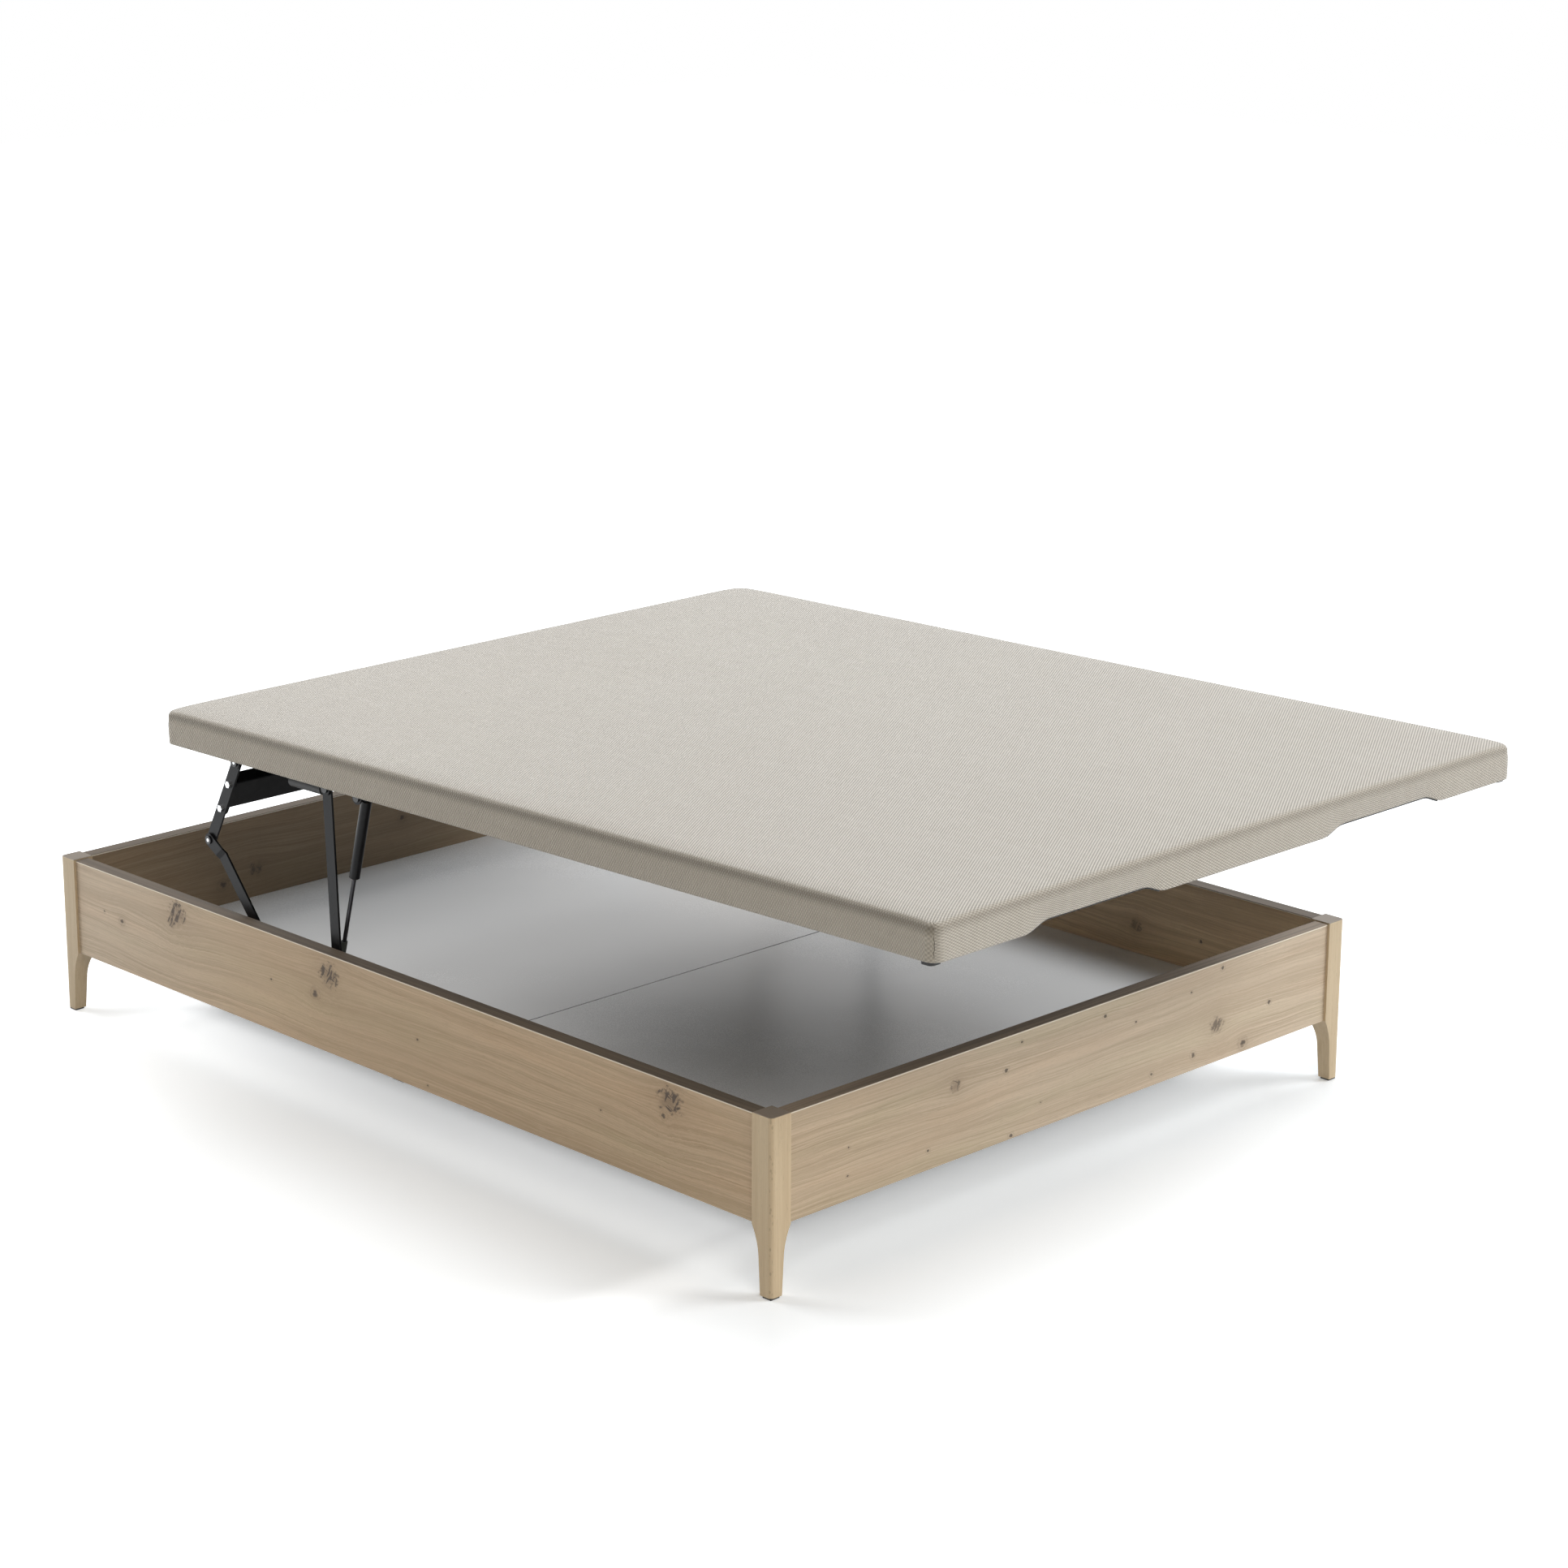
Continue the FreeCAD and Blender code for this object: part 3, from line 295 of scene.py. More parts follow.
@dataclass(frozen=True)
class KnottyOak:
    """Light oak with flowing grain, pores, knots with cracks, and an edge band along the top.

    Warm holds two places along the board and how much of the warmer tone lies there. A knot bends the grain
    and stains the wood around it, and left over is what remains of both at a distance of one over the rate.
    The painted inner light and shade tints the inner face: painted shade on the head board, painted light on
    the far board. The painted arris highlight is a pale line just below the edge band.
    """

    name: str
    grain: Axis
    seed: float
    knots: tuple[Knot, ...]
    warm: tuple[float, float, float, float] = (-1.0, 1.0, 1.0, 1.0)
    painted_inner_light_shade: Colour = WHITE
    inner_face: float = 0.9655
    light: Colour = (0.62, 0.513, 0.391)
    middle: Colour = (0.495, 0.398, 0.287)
    dark: Colour = (0.34, 0.255, 0.175)
    bright: Colour = (0.74, 0.635, 0.50)
    patch_tone: Colour = (0.50, 0.405, 0.30)
    pink_tint: Colour = (1.03, 0.93, 0.87)
    green_tint: Colour = (0.95, 1.0, 0.95)
    warm_tint: Colour = (0.985, 0.875, 0.73)
    core: Colour = (0.075, 0.056, 0.045)
    band: Colour = (0.080, 0.059, 0.039)
    band_mottle: float = 1.45
    band_top: float = 0.3155
    painted_arris_highlight: Colour = (0.92, 0.84, 0.71)
    slope: float = 0.35
    sway: Streaks = Streaks(1.0, 5.0)
    sway_reach: float = 0.052
    ripple: Streaks = Streaks(5.0, 20.0, 3.0)
    ripple_reach: float = 0.012
    figure: Streaks = Streaks(1.1, 55.0, 7.0, 3.0, 0.6)
    rings: Streaks = Streaks(2.6, 380.0, 11.0, 2.0, 0.55)
    pores: Streaks = Streaks(70.0, 1700.0, 13.0, 1.0)
    hairs: Streaks = Streaks(9.0, 900.0, 17.0)
    patches: Streaks = Streaks(1.6, 7.0, 19.0)
    ragged: Streaks = Streaks(90.0, 150.0, 23.0, 2.0, 0.6)
    hues: Streaks = Streaks(2.2, 16.0, 29.0)
    dashes: Streaks = Streaks(20.0, 620.0, 31.0, 1.0)
    mottle: Streaks = Streaks(3.0, 160.0)
    knot_length: float = 0.85
    knot_ragged: float = 1.5
    knot_share: float = 0.92
    bent_from: float = 0.006
    pull: float = 0.6
    left_over: float = 0.36
    pull_rate: float = 0.42
    stain_rate: float = 0.62
    cracks: Point2 = (34.0, 150.0)
    hair_cracks: Point2 = (52.0, 230.0)

    def marks(self, tree: Tree, along: Value, z: Value, cracked: Value, eyes: Value) -> Value:
        """The dark marks of the knots.

        Args:
            tree: the board's node tree.
            along: the place along the grain.
            z: the height.
            cracked: the distance from the nearest cracked knot, in its radii.
            eyes: the same for the plain knots.

        Returns:
            How dark each point is.
        """
        (long, short), (longer, shorter) = self.cracks, self.hair_cracks
        leaning = tree.vector((along * 0.5 + z * 0.87) * long, (z * 0.5 - along * 0.87) * short, self.seed)
        crossing = tree.vector((along - z * 0.5) * longer, (z + along * 0.5) * shorter, self.seed)
        strokes = tree.cloud(leaning, 1.0, 1.0).ramp(0.50, 0.57)
        strokes = strokes.higher(tree.cloud(crossing, 1.0, 1.0).ramp(0.60, 0.67))
        heart = (strokes * cracked.fall(0.6, 1.25)).higher(cracked.fall(0.3, 1.2, 0.34))
        eye = eyes.fall(0.3, 0.95, 0.85)
        ring = (eyes - 1.35).size().fall(0.05, 0.35, 0.14)
        return (heart * self.knot_share).higher(eye).higher(ring)

    def material(self) -> bpy.types.Material:
        """The board's finish.

        Returns:
            The finished material.
        """
        tree = Surface(self.name)
        x, y, z = tree.parts(tree.place())
        along, depth = (x, y) if self.grain is Axis.ALONG else (y, x)
        line = z + depth * self.slope
        sway = self.sway.lay(tree, along, line, self.seed) - 0.5
        ripple = self.ripple.lay(tree, along, line, self.seed) - 0.5
        flow = line + sway * self.sway_reach + ripple * self.ripple_reach
        ragged = (self.ragged.lay(tree, along, z, self.seed) - 0.5) * self.knot_ragged
        spot = tree.vector(along * self.knot_length, z, 0.0)
        cracked: Number = 9.0
        eyes: Number = 9.0
        stain: Number = 0.0
        for knot in self.knots:
            middle = (knot.along * self.knot_length, knot.up, 0.0)
            away = tree.distance(spot, middle) / knot.radius + ragged
            if knot.cracked:
                cracked = away.lower(cracked)
            else:
                eyes = away.lower(eyes)
            if knot.radius > self.bent_from:
                flow = flow - (z - knot.up) * (self.left_over ** (away * self.pull_rate)) * self.pull
                stain = (self.left_over ** (away * self.stain_rate)).higher(stain)
        figure, rings, pores, hairs, hues, dashes = (
            streaks.lay(tree, along, flow, self.seed)
            for streaks in (self.figure, self.rings, self.pores, self.hairs, self.hues, self.dashes))
        patches = self.patches.lay(tree, along, z, self.seed)
        mottle = self.mottle.lay(tree, along, depth, self.seed)
        marks = self.marks(tree, along, z, cracked, eyes)
        top = z.ramp(self.band_top - 0.0012, self.band_top - 0.0006)
        colour = tree.coats(
            tree.blend((figure * 0.7 + rings * 0.3).ramp(0.36, 0.62), self.middle, self.light),
            (rings.fall(0.30, 0.46, 0.28), self.dark),
            (rings.ramp(0.54, 0.68, 0.3), self.bright),
            (hues.ramp(0.5, 0.7, 0.3), self.pink_tint, "MULTIPLY"),
            (hues.fall(0.32, 0.5, 0.55), self.green_tint, "MULTIPLY"),
            (hairs.fall(0.34, 0.48, 0.22), self.dark),
            (dashes.ramp(0.58, 0.72, 0.35), self.bright),
            (pores.fall(0.28, 0.42, 0.36), self.dark),
            (patches.ramp(0.42, 0.72, 0.4), self.patch_tone),
            (stain * 0.62, self.dark),
            (along.step(*self.warm), self.warm_tint, "MULTIPLY"),
            # Painted light and shade on the inner face: darker on the head board, lighter on the far board.
            (depth.size().fall(self.inner_face - 0.0005, self.inner_face), self.painted_inner_light_shade, "MULTIPLY"),
            (marks, self.core),
            # A painted highlight: a pale line along the top arris, just below the edge band.
            (z.ramp(self.band_top - 0.0036, self.band_top - 0.0020, 0.85), self.painted_arris_highlight),
            (top, tree.blend(mottle.ramp(0.35, 0.65), self.band, shade(self.band, self.band_mottle))))
        height = rings * 0.4 - pores.fall(0.28, 0.42, 0.8) - marks
        rough = 0.50 + top * 0.12 + (figure - 0.5) * 0.12 + marks * 0.2
        return tree.finish(Base_Color=colour, Roughness=rough, Specular_IOR_Level=0.45,
                           Normal=tree.bump(height, 0.00025, 0.35))


@dataclass(frozen=True)
class PlainWood:
    """Plain pale wood with fine straight grain, and a darker stained top above the band's height."""

    name: str
    grain: Axis
    light: Colour
    dark: Colour
    lines: float = 240.0
    rough: float = 0.45
    seed: float = 0.0
    band_height: float = 9.0
    band: Colour = (0.21, 0.17, 0.13)
    arris_sum: float = 9.0

    def material(self) -> bpy.types.Material:
        """The wood's finish.

        Returns:
            The finished material.
        """
        tree = Surface(self.name)
        x, y, z = tree.parts(tree.place())
        along, first, second = {Axis.ALONG: (x, y, z), Axis.ACROSS: (y, x, z), Axis.UP: (z, x, y)}[self.grain]
        sway = tree.cloud(tree.vector(along * 3.0, first * 8.0 + self.seed, second * 8.0))
        side = first + (sway - 0.5) * 0.01
        broad, narrow = self.lines * 0.3, self.lines * 2.2
        streak = tree.cloud(tree.vector(along * 2.0, side * broad, second * broad), 1.0, 3.0)
        fine = tree.cloud(tree.vector(along * 7.0, side * narrow, second * narrow), 1.0, 3.0, 0.6)
        fleck = tree.cloud(tree.vector(along * 60.0, side * 900.0, second * 900.0), 1.0, 1.0).fall(0.27, 0.36)
        worn = tree.cells(tree.vector(x, y, z * 0.6), 170.0).fall(0.22, 0.42, 0.45)
        arris = (x.size() + y.size()).ramp(self.arris_sum - 0.0012, self.arris_sum - 0.0002)
        colour = tree.coats(
            tree.blend((streak * 0.55 + fine * 0.5).ramp(0.36, 0.68), self.dark, self.light),
            (fleck * 0.35, shade(self.dark, 0.6)),
            (arris * worn, shade(self.dark, 0.55)),
            (z.ramp(self.band_height - 0.0006, self.band_height), self.band))
        return tree.finish(Base_Color=colour, Roughness=self.rough + (fine - 0.5) * 0.15,
                           Specular_IOR_Level=0.45, Normal=tree.bump(fine - fleck * 0.6, 0.0002, 0.3))


@dataclass(frozen=True)
class WhiteBoard:
    """A white laminated board with a very fine grain, faint dust, a soft sheen and a dark joint."""

    name: str
    colour: Colour = (0.72, 0.72, 0.715)
    dust: Colour = (0.35, 0.34, 0.33)
    joint: Colour = (0.05, 0.05, 0.05)

    def material(self) -> bpy.types.Material:
        """The board's finish.

        Returns:
            The finished material.
        """
        tree = Surface(self.name)
        point = tree.place()
        cloudy = tree.cloud(point, 2.3, 3.0)
        grit = tree.cloud(point, 900.0)
        colour = tree.coats(
            self.colour,
            (cloudy.ramp(0.3, 0.7, 0.5), shade(self.colour, 0.94)),
            (tree.cells(point, 26.0).fall(0.012, 0.03, 0.35), self.dust),
            (tree.parts(point)[0].size().fall(0.0016, 0.0024), self.joint))
        rough = 0.26 + (cloudy - 0.5) * 0.10 + (grit - 0.5) * 0.06
        return tree.finish(Base_Color=colour, Roughness=rough, Specular_IOR_Level=0.65,
                           Normal=tree.bump(grit, 0.00008, 0.3))


@dataclass(frozen=True)
class CoatedSteel:
    """Powder-coated or painted steel: a fine orange-peel skin and slightly rubbed patches."""

    name: str
    colour: Colour
    rough: float = 0.38
    metallic: float = 0.0
    rub: float = 0.25
    sheen: float = 0.15

    def material(self) -> bpy.types.Material:
        """The coating's finish.

        Returns:
            The finished material.
        """
        tree = Surface(self.name)
        point = tree.place()
        peel = tree.cloud(point, 650.0)
        patch = tree.cloud(point, 38.0, 4.0, 0.6).ramp(0.45, 0.75)
        scuffs = tree.cloud(tree.node("ShaderNodeMapping", inputs={0: point, 3: (60.0, 60.0, 900.0)}))
        mark = scuffs.ramp(0.68, 0.76, self.rub)
        lifted = tuple(min(1.0, part * 2.4 + 0.012) for part in self.colour)
        rough = self.rough + (patch - 0.5) * 0.1 + (peel - 0.5) * 0.08 + mark * 0.15
        return tree.finish(Base_Color=tree.blend(patch * 0.3 + mark * 0.5, self.colour, lifted),
                           Metallic=self.metallic, Roughness=rough, Specular_IOR_Level=self.sheen,
                           Normal=tree.bump(peel, 0.00012, 0.35))


@dataclass(frozen=True)
class BrightMetal:
    """Zinc-plated steel with brushed and cloudy patches."""

    name: str
    colour: Colour = ZINC
    dull: Colour = (0.56, 0.57, 0.56)
    rough: float = 0.26

    def material(self) -> bpy.types.Material:
        """The plating's finish.

        Returns:
            The finished material.
        """
        tree = Surface(self.name)
        cloudy = tree.cloud(tree.place(), 260.0, 3.0)
        fine = tree.cloud(tree.place(), 2400.0)
        colour = tree.blend(cloudy.ramp(0.3, 0.7, 0.5), self.colour, self.dull)
        return tree.finish(Base_Color=colour, Metallic=1.0, Roughness=self.rough + (cloudy - 0.5) * 0.2,
                           Normal=tree.bump(fine, 0.00005, 0.3))


@dataclass(frozen=True)
class BlackedBolt:
    """A black coated bolt head that is bright around one axis only, given by its place along and up."""

    name: str
    axis: Point2
    bright_radius: float
    black: Colour = (0.012, 0.012, 0.013)

    def material(self) -> bpy.types.Material:
        """The bolt's finish.

        Returns:
            The finished material.
        """
        tree = Surface(self.name)
        x, _, z = tree.parts(tree.place())
        away = tree.distance(tree.vector(x, 0.0, z), (self.axis[0], 0.0, self.axis[1]))
        bright = away.fall(self.bright_radius - 0.0004, self.bright_radius)
        cloudy = tree.cloud(tree.place(), 300.0, 3.0)
        return tree.finish(Base_Color=tree.blend(bright, self.black, ZINC), Metallic=bright,
                           Roughness=0.3 + (cloudy - 0.5) * 0.2, Normal=tree.bump(cloudy, 0.00006, 0.3))


@dataclass(frozen=True)
class Moulded:
    """Moulded rubber or plastic with a fine grain."""

    name: str
    colour: Colour
    rough: float = 0.6

    def material(self) -> bpy.types.Material:
        """The moulding's finish.

        Returns:
            The finished material.
        """
        tree = Surface(self.name)
        point = tree.place()
        dust = tree.cloud(point, 55.0, 3.0).ramp(0.5, 0.8)
        colour = tree.blend(dust * 0.3, self.colour, tuple(part + 0.03 for part in self.colour))
        return tree.finish(Base_Color=colour, Roughness=self.rough + dust * 0.12,
                           Normal=tree.bump(tree.cells(point, 1400.0), 0.00015, 0.3))


@dataclass(frozen=True)
class SpacerMesh:
    """Beige spacer mesh: a honeycomb of small dots that follows the cut of the cloth.

    Middle and half are half the length and half the width of the lid's top on the laid-out cloth. The sides
    are darkened with painted shade, on the top one row of dots outweighs the other as painted raking light,
    and a band of painted shade runs along the rolled edge.
    """

    name: str
    light: Colour = (0.86, 0.80, 0.715)
    dark: Colour = (0.235, 0.208, 0.172)
    faded: Colour = (0.80, 0.77, 0.70)
    side_shade_tint: Colour = (0.89, 0.875, 0.85)
    flank_shade_tint: Colour = (0.97, 0.955, 0.925)
    rolled_edge_shade_tint: Colour = (0.36, 0.34, 0.31)
    rows: float = 183.0
    columns: float = 115.0
    middle: float = 0.9925
    half: float = 0.75
    rolled_edge_shade_reach: float = 0.020

    def rolled_edge_shade(self, past: Value, share: float) -> Value:
        """The painted shade band over the rolled edge, this far past the outline."""
        return past.ramp(-0.006, 0.0015) * past.fall(0.0015, self.rolled_edge_shade_reach, share)

    def material(self) -> bpy.types.Material:
        """The fabric's finish, laid out by the cloth's own map.

        Returns:
            The finished material.
        """
        tree = Surface(self.name)
        along, across, _ = tree.parts(tree.node("ShaderNodeUVMap", {"uv_map": CLOTH_MAP}))
        first, second = (((along * self.rows + across * columns) * math.tau).cosine()
                         for columns in (self.columns, -self.columns))
        ends, flanks = (along - self.middle).size() - self.middle, across.size() - self.half
        side = ends.ramp(-0.014, -0.004).higher(flanks.ramp(-0.014, -0.004))
        # Painted raking light: on the top the first row of dots outweighs the second; on the sides both weigh
        # the same.
        dots = first * (0.36 - side * 0.12) + second * (0.10 + side * 0.14) + 0.5
        thread = tree.cloud(tree.vector(along * 1500.0, across * 700.0, 0.0), 1.0, 1.0)
        slub = tree.cloud(tree.vector(along * 12.0, across * 60.0, 2.0), 1.0, 3.0)
        fade = tree.cloud(tree.vector(along * 2.2, across * 2.2, 5.0))
        colour = tree.coats(
            # The sides get duller, darker dots as painted shade.
            tree.blend(dots * (1.0 - side * 0.5) + side * 0.28, self.dark, self.light),
            ((thread - 0.5).size() * 0.25, self.dark),
            (slub.ramp(0.4, 0.7, 0.08) + fade.ramp(0.3, 0.7, 0.05), self.faded),
            # Painted shade on the sides and on the flanks.
            (side, self.side_shade_tint, "MULTIPLY"),
            (flanks.ramp(-0.002, 0.008), self.flank_shade_tint, "MULTIPLY"),
            # Painted shade in a band along the rolled edge, stronger on the flanks than at the ends.
            (self.rolled_edge_shade(flanks, 0.62).higher(self.rolled_edge_shade(ends, 0.34)), self.rolled_edge_shade_tint, "MULTIPLY"))
        return tree.finish(Base_Color=colour, Roughness=0.86, Specular_IOR_Level=0.2, Sheen_Weight=0.5,
                           Sheen_Roughness=0.4, Normal=tree.bump(dots, 0.0015, 0.9))


@dataclass(frozen=True)
class PressedCloth:
    """Black non-woven cloth with pressed dots."""

    name: str
    colour: Colour = (0.022, 0.022, 0.024)

    def material(self) -> bpy.types.Material:
        """The cloth's finish.

        Returns:
            The finished material.
        """
        tree = Surface(self.name)
        dots = tree.cells(tree.place(), 420.0).fall(0.25, 0.5)
        fibre = tree.cloud(tree.place(), 1300.0, 3.0, 0.7)
        colour = tree.blend(fibre.ramp(0.4, 0.75, 0.5), self.colour, shade(self.colour, 2.2))
        return tree.finish(Base_Color=colour, Roughness=0.8 - dots * 0.25,
                           Normal=tree.bump(fibre - dots, 0.0003, 0.5))


@dataclass(frozen=True)
class Foam:
    """White fibre padding."""

    name: str
    colour: Colour = (0.80, 0.79, 0.75)

    def material(self) -> bpy.types.Material:
        """The padding's finish.

        Returns:
            The finished material.
        """
        tree = Surface(self.name)
        fibre = tree.cloud(tree.place(), 420.0, 4.0, 0.7)
        colour = tree.blend(fibre.ramp(0.35, 0.7), shade(self.colour, 0.85), self.colour)
        return tree.finish(Base_Color=colour, Roughness=0.95, Normal=tree.bump(fibre, 0.001, 0.5))


@dataclass(frozen=True)
class StudioFloor:
    """The plain pale floor. Its glow is only seen and lights nothing, so the bed's shadow keeps its tone.

    The glow has one level beside the bed and one farther off, so painted light cuts the bed's shadow short,
    and more under the near side, foot and head, which is painted light in the bed's shadow.
    """

    name: str = "studio floor"
    colour: Colour = (0.857, 0.88, 0.90)
    second: Colour = (0.837, 0.86, 0.88)
    tint: Colour = (0.995, 1.0, 1.0)
    half_length: float = 1.0
    half_width: float = 0.75
    beside: float = 0.19
    farther: float = 0.63
    horizon: float = 0.6
    shadow_light_near: float = 0.32
    shadow_light_foot: float = 0.18
    shadow_light_head: float = 0.36

    def material(self) -> bpy.types.Material:
        """The floor's finish.

        Returns:
            The finished material.
        """
        tree = Surface(self.name)
        grain = tree.cloud(tree.place(), 3.0)
        x, y, _ = tree.parts(tree.place())
        ends, flanks = x.size() - self.half_length, y.size() - self.half_width
        away = ends.higher(flanks)
        # The glow is low beside the bed and higher farther off: painted light that cuts the bed's shadow
        # short.
        glow = away.step(-0.02, 0.42, self.beside, self.farther) + away.ramp(1.5, 5.0, self.horizon)
        # Painted light in the bed's shadow under the near side, the foot and the head.
        near = flanks.ramp(-0.26, -0.15) * flanks.fall(-0.12, 0.04) * ends.fall(-0.3, -0.1, self.shadow_light_near)
        foot = ends.ramp(-0.26, -0.18) * ends.fall(-0.16, -0.08, self.shadow_light_foot)
        head = (x * -1.0).ramp(0.1, 1.1) * away.ramp(-0.22, -0.13, self.shadow_light_head)
        glow = glow + near + foot + head
        return tree.finish(Base_Color=tree.blend(grain * 0.05, self.colour, self.second), Roughness=0.9,
                           Specular_IOR_Level=0.0, Emission_Strength=1.0,
                           Emission_Color=tree.blend(tree.seen() * glow, BLACK, self.tint))


class Finish(Protocol):
    """What every finish can do."""

    name: str

    def material(self) -> bpy.types.Material:
        """Makes the material."""


@dataclass(frozen=True)
class LidPlace:
    """Where the raised lid lies: its lower head edge and how far the foot end is tilted up."""

    head_x: float = -0.6315
    head_z: float = 0.621
    tilt_deg: float = 1.27
    length: float = 1.985
    width: float = 1.5
    thickness: float = 0.068
    edge_drop: float = 0.006
    drop_reach: float = 0.020

    def matrix(self) -> Matrix:
        """From the lid's own frame, along, across and up from its lower head edge, to the world."""
        turn = Matrix.Rotation(-math.radians(self.tilt_deg), 4, "Y")
        return Matrix.Translation((self.head_x, 0.0, self.head_z)) @ turn

    def drop(self, along: float, across: float) -> float:
        """How far the padded top has sunk towards its edges at a place on the lid."""
        aways = (min(along, self.length - along), self.width / 2 - abs(across))
        return self.edge_drop * sum(math.exp(-max(away, 0.0) / self.drop_reach) for away in aways)


@dataclass(frozen=True)
class HandRecess:
    """The two raised stretches of the lid's lower edge at the foot end."""

    inner: float = 0.203
    outer: float = 0.547
    height: float = 0.0155
    end_length: float = 0.060

    def rise(self, across: float) -> float:
        """How far the lower edge is raised at a place across the lid."""
        reach = min(abs(across) - self.inner, self.outer - abs(across)) / self.end_length
        return self.height * (0.5 - 0.5 * math.cos(math.pi * clamp(reach)))


def clamp(number: float) -> float:
    """A number kept from 0 to 1."""
    return min(max(number, 0.0), 1.0)


def lines(stops: Sequence[Point2], end: float) -> list[float]:
    """Grid lines from stretches up to an end.

    Args:
        stops: the start and the step of each stretch.
        end: the last place.

    Returns:
        The places, from the first start to the end.
    """
    found: list[float] = []
    starts = [start for start, _ in stops] + [end]
    for (start, step), stop in zip(stops, starts[1:]):
        count = max(1, math.ceil((stop - start) / step - 1e-9))
        found += [start + (stop - start) * index / count for index in range(count)]
    return found + [end]


def mirrored(half: list[float]) -> list[float]:
    """Grid lines on both sides of the middle, from those of one side."""
    return [-place for place in reversed(half[1:])] + half


def quads(columns: int, rows: int, upwards: bool = True) -> Iterator[tuple[Cell, Cell, Cell, Cell]]:
    """The corners of each face of a grid with so many columns and rows of vertices."""
    for i, j in product(range(columns - 1), range(rows - 1)):
        yield (i, j), *((i + 1, j), (i + 1, j + 1), (i, j + 1))[::1 if upwards else -1]


def tube(mesh: bmesh.types.BMesh, rings: Sequence[list[bmesh.types.BMVert]]) -> None:
    """Joins rings of vertices into a tube with closed ends.

    Args:
        mesh: the mesh under construction.
        rings: the rings, from one end to the other.
    """
    made = [mesh.faces.new(rings[0][::-1]), mesh.faces.new(rings[-1])]
    for lower, upper in zip(rings, rings[1:]):
        made += [mesh.faces.new((lower[one - 1], lower[one], upper[one], upper[one - 1]))
                 for one in range(len(lower))]
    bmesh.ops.recalc_face_normals(mesh, faces=made)


def link(name: str, data: bpy.types.ID) -> bpy.types.Object:
    """Adds an object to the scene.

    Args:
        name: its name.
        data: its mesh, lamp or camera data.

    Returns:
        The new object.
    """
    made = bpy.data.objects.new(name, data)
    bpy.context.scene.collection.objects.link(made)
    return made


def piece_from(name: str, mesh: bmesh.types.BMesh, finish: Finish, smooth: bool = True) -> bpy.types.Object:
    """Turns a finished mesh under construction into an object of the scene.

    Args:
        name: the object's name.
        mesh: the mesh under construction, which is freed.
        finish: the finish to put on.
        smooth: whether its faces are shaded smooth.

    Returns:
        The new object.
    """
    mesh.normal_update()
    data = bpy.data.meshes.new(name)
    mesh.to_mesh(data)
    mesh.free()
    data.materials.append(finish.material())
    if smooth:
        data.shade_smooth()
    return link(name, data)


def thicken(made: bpy.types.Object, thickness: float) -> None:
    """Gives a sheet its thickness, inwards from its outer face."""
    added = made.modifiers.new("skin", "SOLIDIFY")
    added.thickness, added.offset = thickness, -1.0


